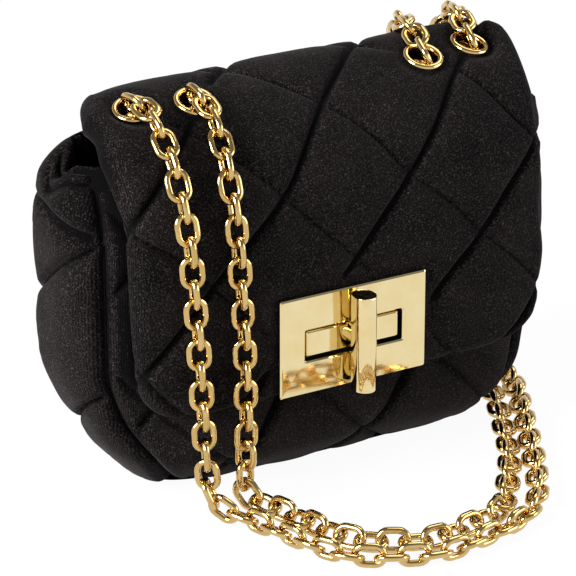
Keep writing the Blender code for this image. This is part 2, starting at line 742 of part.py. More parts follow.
def smooth_points(route, step):
    """Evenly spaced points along a smooth curve through a route."""
    knots = [Vector(point) for point in route]
    knots = [2 * knots[0] - knots[1], *knots, 2 * knots[-1] - knots[-2]]
    fine = []
    for a, b, c, d in zip(knots, knots[1:], knots[2:], knots[3:]):
        for i in range(ROUTE_FINENESS):
            t = i / ROUTE_FINENESS
            bend = 2 * a - 5 * b + 4 * c - d
            twist = 3 * b - a - 3 * c + d
            fine.append(0.5 * (2 * b + (c - a) * t + bend * t ** 2 + twist * t ** 3))
    fine.append(knots[-2])
    lengths = [0.0]
    for here, after in zip(fine, fine[1:]):
        lengths.append(lengths[-1] + (after - here).length)
    count = max(2, round(lengths[-1] / step))
    points = []
    at = 0
    for i in range(count + 1):
        goal = lengths[-1] * i / count
        while at < len(fine) - 2 and lengths[at + 1] < goal:
            at += 1
        share = (goal - lengths[at]) / (lengths[at + 1] - lengths[at])
        points.append(fine[at].lerp(fine[at + 1], share))
    return points


def chain_tube(name, points):
    """A plain tube along points, standing for a run of chain."""
    curve = bpy.data.curves.new(name, "CURVE")
    curve.dimensions = "3D"
    curve.bevel_depth = CHAIN_R
    curve.bevel_resolution = 2
    curve.use_fill_caps = True
    spline = curve.splines.new("POLY")
    spline.points.add(len(points) - 1)
    for knot, point in zip(spline.points, points):
        knot.co = (*point, 1.0)
    obj = bpy.data.objects.new(name, curve)
    purse.objects.link(obj)
    return coat(obj, GOLD)


def in_eyelet(name, depth):
    """A point on an eyelet's axis, at a depth under the flap's outer face."""
    return eyelet_places[name] @ Vector((0.0, 0.0, -depth))


def beside(points, x):
    """Points moved along x."""
    return [(x + point[0], point[1], point[2]) for point in points]


for strand, hang, floor, rise, start, end, x in (
    ("chain_outer", OUTER_HANG, OUTER_FLOOR, OUTER_RISE, "left_outer", "right_outer", EYELET_OUTER_X),
    ("chain_inner", INNER_HANG, INNER_FLOOR, INNER_RISE, "left_inner", "right_inner", EYELET_INNER_X),
):
    route = [*beside(hang, -x), *floor, *beside(rise, x)]
    path = smooth_points([in_eyelet(start, -CHAIN_LEAD), *route, in_eyelet(end, -CHAIN_LEAD)], CHAIN_STEP)
    chain_tube(strand, [in_eyelet(start, CHAIN_END_DEPTH), *path, in_eyelet(end, CHAIN_END_DEPTH)])

for run, start, end in (
    ("chain_turn_left", "left_outer", "left_inner"),
    ("chain_turn_right", "right_inner", "right_outer"),
):
    first = in_eyelet(start, TURN_DEPTH)
    last = in_eyelet(end, TURN_DEPTH)
    middle = (first + last) / 2.0
    across = (first - last) / 2.0
    down = (in_eyelet(start, 1.0) - in_eyelet(start, 0.0)).normalized() * across.length
    bend = []
    for i in range(TURN_STEPS + 1):
        turn = math.pi * i / TURN_STEPS
        bend.append(middle + across * math.cos(turn) + down * math.sin(turn))
    start_depth = CHAIN_END_DEPTH + LAYER_GAP
    chain_tube(run, [in_eyelet(start, start_depth), *bend, in_eyelet(end, start_depth)])
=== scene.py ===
import math

import bmesh
import bpy
import numpy as np
from mathutils import Matrix, Vector


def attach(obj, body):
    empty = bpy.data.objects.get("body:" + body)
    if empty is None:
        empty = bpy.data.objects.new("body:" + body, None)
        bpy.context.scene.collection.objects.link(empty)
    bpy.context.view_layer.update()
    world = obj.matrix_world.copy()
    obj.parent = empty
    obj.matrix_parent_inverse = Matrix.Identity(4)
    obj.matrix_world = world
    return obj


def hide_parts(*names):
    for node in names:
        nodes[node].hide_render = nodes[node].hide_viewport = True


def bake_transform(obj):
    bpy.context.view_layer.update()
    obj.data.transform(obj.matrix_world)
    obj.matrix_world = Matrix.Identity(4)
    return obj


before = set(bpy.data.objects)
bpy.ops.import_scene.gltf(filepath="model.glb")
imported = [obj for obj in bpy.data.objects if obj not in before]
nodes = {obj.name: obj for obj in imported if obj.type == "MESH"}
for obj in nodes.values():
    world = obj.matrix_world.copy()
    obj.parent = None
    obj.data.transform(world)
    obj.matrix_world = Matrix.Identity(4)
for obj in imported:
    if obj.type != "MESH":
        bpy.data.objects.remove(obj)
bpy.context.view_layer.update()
scene = bpy.context.scene
print("frame loaded:", len(nodes), "nodes")


class Sizes(dict):  # what a user would change on a piece, read as cut.name
    __getattr__ = dict.__getitem__


# small helpers

def unit(t):  # held between 0 and 1
    return np.clip(t, 0, 1)


def ease(t):
    t = unit(t)
    return t * t * (3 - 2 * t)


def rising(value, start, width):  # from 0 to 1 past the start
    return ease((value - start) / width)


def bell(value, middle, width):
    return np.exp(-((value - middle) / width) ** 2)


def addObject(name, data):
    obj = bpy.data.objects.new(name, data)
    scene.collection.objects.link(obj)
    return obj


def settle(obj):  # modifiers become a plain mesh
    graph = bpy.context.evaluated_depsgraph_get()
    mesh = bpy.data.meshes.new_from_object(
        obj.evaluated_get(graph), preserve_all_data_layers=True, depsgraph=graph)
    obj.modifiers.clear()
    obj.data = mesh
    return obj


def gridPiece(name, points, flat, marks=None, drop=None):
    # points is rows x columns x 3, flat the same grid laid out in metres, marks named values per point
    rows, columns = points.shape[:2]
    index = np.arange(rows * columns).reshape(rows, columns)
    quads = np.stack([index[:-1, :-1], index[:-1, 1:], index[1:, 1:], index[1:, :-1]], -1)
    quads = quads[~drop] if drop is not None else quads.reshape(-1, 4)
    mesh = bpy.data.meshes.new(name)
    mesh.from_pydata(points.reshape(-1, 3).tolist(), [], quads.tolist())
    layer = mesh.uv_layers.new(name="cut")
    layer.data.foreach_set("uv", flat.reshape(-1, 2)[quads.ravel()].astype(np.float32).ravel())
    for label, values in (marks or {}).items():
        mark = mesh.attributes.new(label, "FLOAT", "POINT")
        mark.data.foreach_set("value", values.astype(np.float32).ravel())
    mesh.polygons.foreach_set("use_smooth", np.ones(len(mesh.polygons), bool))
    form = bmesh.new()
    form.from_mesh(mesh)
    bmesh.ops.delete(form, geom=[v for v in form.verts if not v.link_faces], context="VERTS")
    form.to_mesh(mesh)
    form.free()
    return addObject(name, mesh)


def gridOver(cut):  # across from -1 to 1, along from 0 to 1
    return np.linspace(-1, 1, cut.columns)[None, :], np.linspace(0, 1, cut.rows)[:, None]


def thicken(obj, amount):
    solid = obj.modifiers.new("cloth", "SOLIDIFY")
    solid.thickness = amount
    solid.offset = -1
    return settle(obj)


def gridNormals(points):
    across = np.gradient(points, axis=1)
    along = np.gradient(points, axis=0)
    normal = np.cross(across, along)
    return normal / np.maximum(np.linalg.norm(normal, axis=-1, keepdims=True), 1e-12)


def dress(obj, material, slot, *replaced):
    obj.data.materials.append(material)
    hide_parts(*replaced)


def runLengths(points, axis):
    step = np.linalg.norm(np.diff(points, axis=axis), axis=-1)
    zero = np.zeros_like(np.take(step, [0], axis=axis))
    return np.concatenate([zero, np.cumsum(step, axis=axis)], axis=axis)


def roundOver(distance, radius):  # a quarter round towards a sewn edge
    t = unit(1 - distance / radius)
    return -radius * (1 - np.sqrt(1 - t * t))


def softNoise(a, b, size, seed, waves=9):  # slow unevenness, the same every run
    draw = np.random.default_rng(seed)
    total = np.zeros_like(a)
    for _ in range(waves):
        turn, phase = draw.uniform(0, 2 * math.pi, 2)
        rate = 2 * math.pi / (size * draw.uniform(0.6, 1.6))
        total += np.sin(rate * (a * math.cos(turn) + b * math.sin(turn)) + phase)
    return total / waves


# camera at the photograph's angle
view = Sizes(turn=-29.97, rise=23.19, far=1.18377, aim=(-0.00408, 0, 0.05615), lens=218.75, near=0.01)


def makeCamera(view):
    turn, rise = math.radians(view.turn), math.radians(view.rise)
    out = Vector((math.sin(turn) * math.cos(rise), -math.cos(turn) * math.cos(rise), math.sin(rise)))
    data = bpy.data.cameras.new("productCamera")
    data.lens = view.lens
    data.sensor_width = 36
    data.clip_start = view.near
    camera = addObject("productCamera", data)
    camera.location = Vector(view.aim) + view.far * out
    camera.rotation_euler = (-out).to_track_quat("-Z", "Y").to_euler()
    scene.camera = camera


makeCamera(view)
print("camera set")


# node groups shared by the materials
black, white = (0, 0, 0, 1), (1, 1, 1, 1)


def newGroup(name, inputs, outputs):  # the kind of a socket follows from its value
    group = bpy.data.node_groups.new(name, "ShaderNodeTree")
    for way, sockets in (("INPUT", inputs), ("OUTPUT", outputs)):
        for label, value in sockets.items():
            kind = {3: "Vector", 4: "Color"}[len(value)] if isinstance(value, tuple) else "Float"
            socket = group.interface.new_socket(name=label, in_out=way, socket_type="NodeSocket" + kind)
            if way == "INPUT":
                socket.default_value = value
    return group, group.nodes.new("NodeGroupInput").outputs, group.nodes.new("NodeGroupOutput")


class Wiring:
    def __init__(self, tree):
        self.tree = tree

    def plug(self, made, **plugs):  # Base_Color is the input Base Color, a number is an input's place
        for label, value in plugs.items():
            socket = made.inputs[int(label) if label.isdigit() else label.replace("_", " ")]
            if isinstance(value, bpy.types.NodeSocket):
                self.tree.links.new(value, socket)
            else:
                socket.default_value = value
        return made

    def node(self, kind, settings=None, **plugs):
        made = self.tree.nodes.new(kind)
        for label, value in (settings or {}).items():
            setattr(made, label, value)
        return self.plug(made, **plugs)

    def out(self, kind, settings=None, **plugs):
        return self.node(kind, settings, **plugs).outputs[0]

    def math(self, operation, *values):
        return self.out("ShaderNodeMath", {"operation": operation}, **{str(i): v for i, v in enumerate(values)})

    def total(self, first, *others):  # each of the others comes with its share
        for value, share in others:
            first = self.math("ADD", first, self.math("MULTIPLY", value, share))
        return first

    def mix(self, share, a, b):
        return self.node("ShaderNodeMix", {"data_type": "RGBA"}, **{"0": share, "6": a, "7": b}).outputs[2]

    def noise(self, place, scale, detail):
        return self.out("ShaderNodeTexNoise", Vector=place, Scale=scale, Detail=detail)

    def spread(self, value, low, high, first, last):
        return self.out("ShaderNodeMapRange", Value=value, From_Min=low, From_Max=high, To_Min=first, To_Max=last)

    def bump(self, height, strength, distance):
        return self.out("ShaderNodeBump", Height=height, Strength=strength, Distance=distance)

    def place(self):
        return self.node("ShaderNodeTexCoord").outputs["Object"]


velvetLook = Sizes(
    deep=(0.0012, 0.0009, 0.001, 1), light=(0.062, 0.05, 0.0485, 1), speck=1900, rib=8400,
    sheen=0.045, sheenRoughness=0.36, sheenTint=(0.84, 0.75, 0.78, 1), coarse=800, cloud=55, wobble=260,
    wobbleTurn=5, ribFlat=0.05, ribRolled=0.5, speckLow=0.45, speckHigh=0.74, speckPower=2.1, speckShare=0.84,
    coarseShare=0.05, fanTop=0.75, fanLow=0.35, fanHigh=0.65, fanMost=3, fanShare=0.5, cloudShare=0.2,
    ribShare=0.14, rollShare=-0.04, seamShare=-0.4, speckHeight=0.6, ribHeight=0.5, bump=0.55,
    bumpDepth=0.00035, roughness=0.95, specular=0.08,
)


def makeNapGroup(look):
    # pile of the velvet: fine specks and faint ribs, with painted highlights beside the sewn valleys and painted
    # shade in them
    group, come, go = newGroup(
        "velvetNap", {"Place": (0, 0, 0), "Cut": (0, 0, 0), "Seam": 0, "Roll": 0, "Deep": black, "Light": black,
                      "Speck size": look.speck, "Rib rate": look.rib}, {"Colour": black, "Height": 0})
    w = Wiring(group)
    place, paintedShade, roll = come["Place"], come["Seam"], come["Roll"]
    speck = w.noise(place, come["Speck size"], 3)
    coarse = w.noise(place, look.coarse, 2)
    cloud = w.noise(place, look.cloud, 3)
    wobble = w.math("MULTIPLY", w.noise(place, look.wobble, 1), look.wobbleTurn)
    ribs = w.math("MULTIPLY", w.out("ShaderNodeSeparateXYZ", Vector=come["Cut"]), come["Rib rate"])
    ribs = w.math("SINE", w.math("ADD", ribs, wobble))
    ribs = w.math("MULTIPLY", ribs, w.spread(roll, 0, 1, look.ribFlat, look.ribRolled))
    bright = w.math("POWER", w.spread(speck, look.speckLow, look.speckHigh, 0, 1), look.speckPower)
    # painted highlight on the lips beside the sewn valleys, where the painted shade mask is middling
    valleyLipHighlight = w.math("MAXIMUM", w.math("MULTIPLY", paintedShade, w.math("SUBTRACT", look.fanTop, paintedShade)), 0)
    valleyLipHighlight = w.math("MULTIPLY", valleyLipHighlight, w.spread(coarse, look.fanLow, look.fanHigh, 0, look.fanMost))
    bright = w.total(
        w.math("MULTIPLY", bright, look.speckShare), (coarse, look.coarseShare), (valleyLipHighlight, look.fanShare),
        (w.math("SUBTRACT", cloud, 0.5), look.cloudShare), (ribs, look.ribShare), (roll, look.rollShare),
        (paintedShade, look.seamShare))
    height = w.total(w.math("MULTIPLY", speck, look.speckHeight), (ribs, look.ribHeight))
    w.plug(go, Colour=w.mix(bright, come["Deep"], come["Light"]), Height=height)
    return group


def makePlatingGroup():
    # polished plating: soft smears, fine hairlines and a little depth in the colour
    group, come, go = newGroup(
        "goldPlating", {"Place": (0, 0, 0), "Bright": white, "Rich": white, "Gloss": 0.08, "Smear": 0.06},
        {"Colour": white, "Roughness": 0, "Height": 0})
    w = Wiring(group)
    cloud = w.noise(come["Place"], 140, 3)
    hair = w.noise(w.out("ShaderNodeMapping", Vector=come["Place"], Scale=(60, 60, 2600)), 1, 2)
    colour = w.mix(w.spread(cloud, 0.3, 0.75, 0, 1), come["Bright"], come["Rich"])
    rough = w.total(come["Gloss"], (come["Smear"], cloud), (hair, 0.03))
    w.plug(go, Colour=colour, Roughness=rough, Height=w.total(w.math("MULTIPLY", cloud, 0.7), (hair, 0.2)))
    return group


napGroup = makeNapGroup(velvetLook)
platingGroup = makePlatingGroup()


def newMaterial(name):
    material = bpy.data.materials.new(name)
    material.use_nodes = True
    return material, Wiring(material.node_tree), material.node_tree.nodes["Principled BSDF"]


def makeVelvet(look):
    material, w, shader = newMaterial("blackVelvet")
    # this attribute is painted shade in creases, along edges, under the flap and in the pocket, and painted light
    # where it is below zero
    paintedShade, roll = (w.node("ShaderNodeAttribute", {"attribute_name": mark}).outputs["Fac"]
                  for mark in ("paintedShade", "roll"))
    nap = w.node("ShaderNodeGroup", {"node_tree": napGroup}, Place=w.place(),
                 Cut=w.out("ShaderNodeUVMap", {"uv_map": "cut"}), Seam=paintedShade, Roll=roll, Deep=look.deep,
                 Light=look.light, Speck_size=look.speck, Rib_rate=look.rib).outputs
    w.plug(shader, Base_Color=nap["Colour"], Normal=w.bump(nap["Height"], look.bump, look.bumpDepth),
           Roughness=look.roughness, Specular_IOR_Level=look.specular, Sheen_Weight=look.sheen,
           Sheen_Roughness=look.sheenRoughness, Sheen_Tint=look.sheenTint)
    return material


def makePlating(name, bright, rich, gloss, smear):
    material, w, shader = newMaterial(name)
    plating = w.node("ShaderNodeGroup", {"node_tree": platingGroup}, Place=w.place(), Bright=(*bright, 1),
                     Rich=(*rich, 1), Gloss=gloss, Smear=smear).outputs
    w.plug(shader, Base_Color=plating["Colour"], Roughness=plating["Roughness"], Metallic=1,
           Normal=w.bump(plating["Height"], 0.12, 0.00012))
    return material


def makeSatin(name, dark, light, rate):
    # woven lining: crossed threads
    material, w, shader = newMaterial(name)
    x, y, z = w.node("ShaderNodeSeparateXYZ", Vector=w.place()).outputs
    weave = w.math("MULTIPLY", *(w.math("SINE", w.math("MULTIPLY", way, rate)) for way in (w.math("ADD", x, y), z)))
    cloud = w.noise(w.place(), 90, 3)
    w.plug(shader, Base_Color=w.mix(w.total(cloud, (weave, 0.25)), (*dark, 1), (*light, 1)),
           Roughness=w.spread(cloud, 0.3, 0.7, 0.48, 0.68), Normal=w.bump(weave, 0.3, 0.0001), Sheen_Weight=0.05)
    return material


velvet = makeVelvet(velvetLook)
plateGold = makePlating("lockGold", (0.8, 0.678, 0.385), (0.77, 0.61, 0.31), 0.035, 0.04)
# linkGold is the lock's gold made darker and browner: painted dark reflections on the chain and the eyelets
linkGold = makePlating("linkGold", (0.66, 0.465, 0.195), (0.54, 0.36, 0.125), 0.05, 0.05)
innerSteel = makePlating("innerSteel", (0.6, 0.58, 0.53), (0.5, 0.48, 0.44), 0.3, 0.12)
satin = makeSatin("blackSatin", (0.01, 0.01, 0.011), (0.024, 0.023, 0.024), 9000)
boardCover = makeSatin("boardCover", (0.13, 0.11, 0.095), (0.18, 0.155, 0.13), 5200)
print("materials made")


# outline of the bag's body, as in the solids, with soft shoulders over the side panels
bodyCut = Sizes(
    halfWidth=0.0895, front=0.026, back=0.031, baseHalfWidth=0.057, baseHalfDepth=0.012, baseRound=0.021,
    cornerRise=0.048, cornerPower=1.5, power=3.5, belly=0.0065, flapEdge=0.034, seamIn=0.0075, seamZ=0.0024,
    tuckZ=0.094, tuckRadius=0.0305, tuckY=0.006, rearZ=0.1, rearIn=0.009,
    rearTop=0.121,
)


def bodyHalfWidth(z):
    rise = unit(z / bodyCut.cornerRise)
    swell = (1 - (1 - rise) ** bodyCut.cornerPower) ** (1 / bodyCut.cornerPower)
    return bodyCut.baseHalfWidth + (bodyCut.halfWidth - bodyCut.baseHalfWidth) * swell


def bodySection(z):
    c = bodyCut
    swell = np.sqrt(1 - (1 - unit(z / c.baseRound)) ** 2)
    belly = c.belly * np.sin(math.pi * unit(z / c.flapEdge)) ** 2
    front = c.baseHalfDepth + (c.front + belly - c.baseHalfDepth) * swell
    tuck = np.sqrt(np.maximum(c.tuckRadius ** 2 - np.maximum(z - c.tuckZ, 0) ** 2, 1e-9)) - c.tuckY
    front = np.where(z > c.tuckZ, np.minimum(front, tuck), front)
    back = c.baseHalfDepth + (c.back - c.baseHalfDepth) * swell
    back = back - c.rearIn * ease((z - c.rearZ) / (c.rearTop - c.rearZ))
    return bodyHalfWidth(z), (front + back) / 2, (back - front) / 2


def otherHalf(share):
    power = bodyCut.power
    return (1 - unit(np.abs(share)) ** power) ** (1 / power)


def upTheSide(v, top):  # closer rows round the base
    low, turn, share = bodyCut.seamZ, bodyCut.baseRound, 0.36
    start = math.acos(1 - low / turn)
    lower = turn * (1 - np.cos(start + (math.pi / 2 - start) * unit(v / share)))
    upper = turn + (top - turn) * (v - share) / (1 - share)
    return np.where(v < share, lower, upper)


def diamonds(across, along, cut):
    # metres to the nearest stitch line of each slant, and places along them
    p = across / cut.diamondX + (along - cut.nodeAlong) / cut.diamondZ
    q = across / cut.diamondX - (along - cut.nodeAlong) / cut.diamondZ
    p, q = p - cut.get("nodeX", 0) / cut.diamondX, q - cut.get("nodeX", 0) / cut.diamondX
    reach = 1 / math.hypot(1 / cut.diamondX, 1 / cut.diamondZ)
    one = np.abs(p - 2 * np.round(p / 2)) * reach
    two = np.abs(q - 2 * np.round(q / 2)) * reach
    return one, two, p * reach, q * reach


def quilting(across, along, cut, keep=1):
    # gently domed padding between narrow sewn creases, deeper in one slant, with puckers beside the thread
    one, two, atOne, atTwo = diamonds(across, along, cut)

    def pillow(d):
        return 1 - (1 - unit(d / cut.pillow)) ** 2.6

    wander = softNoise(across, along, 0.012, cut.seed)
    shallow, width = cut.get("shallow", 0.55), cut.creaseWidth
    creaseOne = shallow * np.exp(-(one / (0.75 * width)) ** 2)
    creaseTwo = keep * np.exp(-(two / (width * (1 + 0.25 * wander))) ** 2)
    crease = np.maximum(creaseOne, creaseTwo)
    dome = np.sqrt(pillow(one) * (1 - keep * (1 - pillow(two))))
    height = cut.crest * (2 * dome - 1) - cut.crease * crease
    for d, place in ((one, atTwo), (two, atOne)):
        wave = np.sin(2 * math.pi * place / cut.puckerStep + 5 * wander)
        height += cut.pucker * wave * (d / 0.0016) * np.exp(-d / 0.0021)
    height += cut.uneven * softNoise(across, along, 0.024, cut.seed + 1)
    return height, np.maximum(0.8 * creaseOne, creaseTwo)


# chain strap: route as in the solids, link by link
strap = Sizes(
    linkLength=0.012, linkWidth=0.0088, wire=0.0024, pitch=0.0072, cornerSteps=5, wireSides=7, floorRoll=12,
    floorSpread=32, rollUneven=7, eyeletX=(0.064, 0.0435), eyeletRun=(0.113681, 0.110328), lead=0.0022,
    endDepth=0.001, turnDepth=0.013, tubeEnd=0.0035, turnSteps=12, seed=5, lowZ=0.03, lowRise=0.02,
    twistFrom=0.7, twistOver=0.25, splitY=0.01, splitZ=0.006, fineness=24, pathSteps=160,
)
eyeletSpots = [(side * x, run) for x, run in zip(strap.eyeletX, strap.eyeletRun) for side in (-1, 1)]
# in millimetres: x is from the eyelet where a strand hangs or rises, and from the bag's middle on the floor
outerRoute = Sizes(
    hang=[(0.5, -11, 135.5), (0.8, -17, 132.6), (0.9, -25, 126.7), (0.5, -32.5, 118.3), (0.8, -38.5, 104),
          (1.6, -40.3, 88), (3.4, -40.8, 60), (4.5, -41.2, 35), (5.6, -41.6, 17), (6.8, -41.8, 9)],
    floor=[(-54.5, -45, 5), (-49.9, -53.1, 3.6), (-45.6, -65.7, 3.4), (-40.9, -80, 3.4), (-33.7, -92.5, 3.4),
           (-21.7, -100, 3.4), (-8.5, -105, 3.4), (3, -104.2, 3.4), (12.5, -102, 3.4), (23.1, -99.5, 3.4),
           (33.5, -94.3, 3.4), (42.8, -84.1, 3.4), (52.3, -68.8, 3.4), (61.2, -52.3, 3.4), (69.6, -36.1, 3.4),
           (77.6, -20.4, 3.4), (84.5, -4, 3.4), (87, 16, 3.4), (84.5, 37, 3.8), (76, 47, 11)],
    rise=[(6, 44, 28), (7, 40, 55), (8.5, 37, 85), (9.5, 36.2, 108), (10, 32.6, 122.5), (8, 21.7, 134.4),
          (3.5, 10, 138.7), (0.8, 1.6, 139.1)],
)
innerRoute = Sizes(
    hang=[(0.2, -14, 134.5), (0.2, -18.5, 131.7), (-0.5, -25, 126.8), (-2, -32.5, 118.7), (-2.3, -38.5, 104),
          (-1.9, -40.3, 88), (-0.5, -40.8, 60), (-0.1, -41, 35), (-0.4, -41.2, 17), (-0.6, -41, 9)],
    floor=[(-43, -42.5, 5.8), (-40.2, -47.8, 4.2), (-35.7, -58.5, 3.4), (-32.2, -71.8, 3.4), (-26.7, -83.4, 3.4),
           (-16.5, -90.9, 3.4), (-5.5, -95.4, 3.4), (5.9, -94, 3.4), (17.4, -91.5, 3.4), (26.6, -87, 3.4),
           (35.6, -76.5, 3.4), (47.4, -60.2, 3.4), (56.3, -45, 3.4), (63.7, -30.3, 3.4), (70.5, -16, 3.4),
           (75.5, -1, 3.4), (75.5, 16, 3.4), (68, 31, 3.8), (58, 38.5, 9)],
    rise=[(9, 39, 25), (9.5, 37.5, 55), (11.5, 36.2, 85), (13, 36.2, 108), (12.5, 32.6, 122.5), (9, 21.7, 134.4),
          (3.5, 10, 138.7), (1.2, 1.8, 139.1), (0.2, -4, 137.8)],
)

# flap: up from its lower edge, over the ridge and down the back to the seam
flapCut = Sizes(
    ridgeY=0.006, ridgeZ=0.135, rearRadius=0.025, front=0.035, edgeZ=0.034, halfWidth=0.076, spread=0.005,
    rearTaper=0.015, taperRun=0.118, foldRun=0.13046, solidDroop=0.007, solidPower=8, droop=0.0035,
    topDroop=0.0004, droopPower=6, ridgePuff=0.0007, cornerPuff=0.0036, cornerRadius=0.016, rollLow=0.0042,
    rollTop=0.0066, flareLow=0.0022, flareHigh=0.001, leftIn=0.0015, rollTurn=math.radians(165),
    diamondX=0.0255, diamondZ=0.0275, nodeAlong=0.0444, pillow=0.0135, crest=0.001, crease=0.0017,
    creaseWidth=0.0015, pucker=0.0001, puckerStep=0.0052, uneven=0.0004, seed=11, columns=230, rows=270,
    cloth=0.0008, nudgeReach=0.015, rearTuck=0.0052, rearIn=0.0008, tuckRun=0.004, rearRound=0.0035,
    lockZ=0.052, slotHalfW=0.0195, slotHalfH=0.0063, plateHalfW=0.0285, plateHalfH=0.0178, plateSoft=0.0055,
    plateSink=0.0004, eyeletHole=0.0056, eyeletSeat=0.0066, seatSoft=0.006, eyeletDent=0.0062, dentSink=0.0003,
    eyeletShade=0.6, shadeAt=0.0078, shadeWidth=0.0016, patchX=0.04, patchWide=0.011, patchRun=0.1105,
    patchLong=0.01, patchHeight=0.4, ridgeRun=0.127, ridgeLong=0.015, puffX=0.077, puffWide=0.013,
    puffRun=0.12, puffLong=0.015, rightShade=0.45, flareFoot=0.008, calmIn=0.012, calmSoft=0.008,
    underIn=0.004, underSoft=0.008,
    # where each begins and over how far it comes in
    rollAt=(0.055, 0.05), flareEnd=(0.028, 0.018), flareSide=(0.035, 0.035), hollowAt=(0.036, 0.014),
    hollowEnd=(0.078, 0.014), leftSide=(0.045, 0.03), leftAt=(0.098, 0.012), droopAt=(0.085, 0.03),
    ridgeSide=(0.03, 0.014), calmAt=(0.106, 0.008), underAt=(0.068, 0.03),
    fadeTurn=(math.radians(95), math.radians(45)),
)
# crossings of the stitches that sit off the even pattern: across, along, and how far each way
flapNudges = [
    (0.0255, 0.0719, -0.0019, -0.0023), (-0.0255, 0.0719, 0.0016, -0.0011), (0, 0.0444, 0.0027, -0.0006),
    (0.051, 0.0444, 0.0008, -0.0014), (-0.0765, 0.0719, -0.0035, -0.0026), (0.051, 0.0994, 0.0018, 0.0038),
    (0, 0.0994, -0.0008, 0.0006),
]
flapFrontRadius = flapCut.front + flapCut.ridgeY
flapFrontTop = flapCut.ridgeZ - flapFrontRadius
flapFrontRun = flapFrontTop - flapCut.edgeZ
flapLockRun = flapCut.lockZ - flapCut.edgeZ
flapArcRun = flapFrontRadius * math.pi / 2
flapFullRun = flapFrontRun + flapArcRun + flapCut.rearRadius * math.pi / 2


def flapProfile(run):
    # place and outward direction in the side view
    run = np.asarray(run, float)
    front = np.clip((run - flapFrontRun) / flapFrontRadius, 0, math.pi / 2)
    rear = np.clip((run - flapFrontRun - flapArcRun) / flapCut.rearRadius, 0, math.pi / 2)
    past = run > flapFrontRun + flapArcRun
    outY = np.where(past, np.sin(rear), -np.cos(front))
    outZ = np.where(past, np.cos(rear), np.sin(front))
    radius = np.where(past, flapCut.rearRadius, flapFrontRadius)
    middle = np.where(past, flapCut.ridgeZ - flapCut.rearRadius, flapFrontTop)
    y = flapCut.ridgeY + radius * outY
    z = middle + radius * outZ + np.minimum(run - flapFrontRun, 0)
    return y, z, outY, outZ


def flapHalfWidth(run):
    behind = np.maximum(run - flapCut.taperRun, 0) / (flapFullRun - flapCut.taperRun)
    wider = flapCut.spread * unit(run / flapCut.foldRun)
    return flapCut.halfWidth + wider - flapCut.rearTaper * behind


def eyeletPlace(x):
    # seat and axis of an eyelet on the flap, as in the solids
    def at(px, run):
        y, z, outY, outZ = flapProfile(run)
        sink = flapCut.solidDroop * (abs(px) / flapHalfWidth(run)) ** flapCut.solidPower
        return Vector((px, float(y - sink * outY), float(z - sink * outZ)))

    run, step = next(run for ex, run in eyeletSpots if abs(ex - x) < 1e-6), 1e-5
    axis = (at(x + step, run) - at(x - step, run)).cross(at(x, run + step) - at(x, run - step)).normalized()
    return at(x, run), axis


def smoothLine(points, fineness):
    knots = [Vector(p) for p in points]
    knots = [2 * knots[0] - knots[1], *knots, 2 * knots[-1] - knots[-2]]
    fine = []
    for a, b, c, d in zip(knots, knots[1:], knots[2:], knots[3:]):
        for i in range(fineness):
            t = i / fineness
            fine.append(0.5 * (2 * b + (c - a) * t + (2 * a - 5 * b + 4 * c - d) * t ** 2
                               + (3 * b - a - 3 * c + d) * t ** 3))
    fine.append(knots[-2])
    return np.array([tuple(p) for p in fine])


def lineLength(line):
    return float(np.linalg.norm(np.diff(line, axis=0), axis=1).sum())


def pointsOn(line, distances):
    runs = runLengths(line, 0)
    return np.stack([np.interp(distances, runs, line[:, k]) for k in range(3)], -1)


def linkSpots(line):  # a whole number of links, about a pitch apart
    length = lineLength(line)
    count = round(length / strap.pitch)
    return pointsOn(line, (np.arange(count) + 0.5) * length / count), count, length


def makeLinkTree(cut):
    # one oval link on each point, turned by the point's own turn
    tree = bpy.data.node_groups.new("chainLinks", "GeometryNodeTree")
    for label, kind, value in (("Points", "Geometry", None), ("Link length", "Float", cut.linkLength),
                               ("Link width", "Float", cut.linkWidth), ("Wire", "Float", cut.wire),
                               ("Finish", "Material", None)):
        socket = tree.interface.new_socket(name=label, in_out="INPUT", socket_type="NodeSocket" + kind)
        if value:
            socket.default_value = value
    tree.interface.new_socket(name="Links", in_out="OUTPUT", socket_type="NodeSocketGeometry")
    w = Wiring(tree)
    come, go = w.node("NodeGroupInput").outputs, w.node("NodeGroupOutput")
    longWay, wideWay = (w.math("SUBTRACT", come[label], come["Wire"]) for label in ("Link length", "Link width"))
    oval = w.out("GeometryNodeCurvePrimitiveQuadrilateral", Width=longWay, Height=wideWay)
    oval = w.out("GeometryNodeFilletCurve", {"mode": "POLY"}, Curve=oval, Count=cut.cornerSteps,
                 Radius=w.math("MULTIPLY", wideWay, 0.499))
    wire = w.out("GeometryNodeCurvePrimitiveCircle", Resolution=cut.wireSides,
                 Radius=w.math("MULTIPLY", come["Wire"], 0.5))
    link = w.out("GeometryNodeCurveToMesh", Curve=oval, Profile_Curve=wire)
    turn = w.out("GeometryNodeInputNamedAttribute", {"data_type": "FLOAT_VECTOR"}, Name="linkTurn")
    links = w.out("GeometryNodeInstanceOnPoints", Points=come["Points"], Instance=link,
                  Rotation=w.out("FunctionNodeEulerToRotation", Euler=turn))
    for kind in ("RealizeInstances", "SetShadeSmooth"):
        links = w.out("GeometryNode" + kind, Geometry=links)
    w.plug(go, Links=w.out("GeometryNodeSetMaterial", Geometry=links, Material=come["Finish"]))
    return tree


linkTree = makeLinkTree(strap)


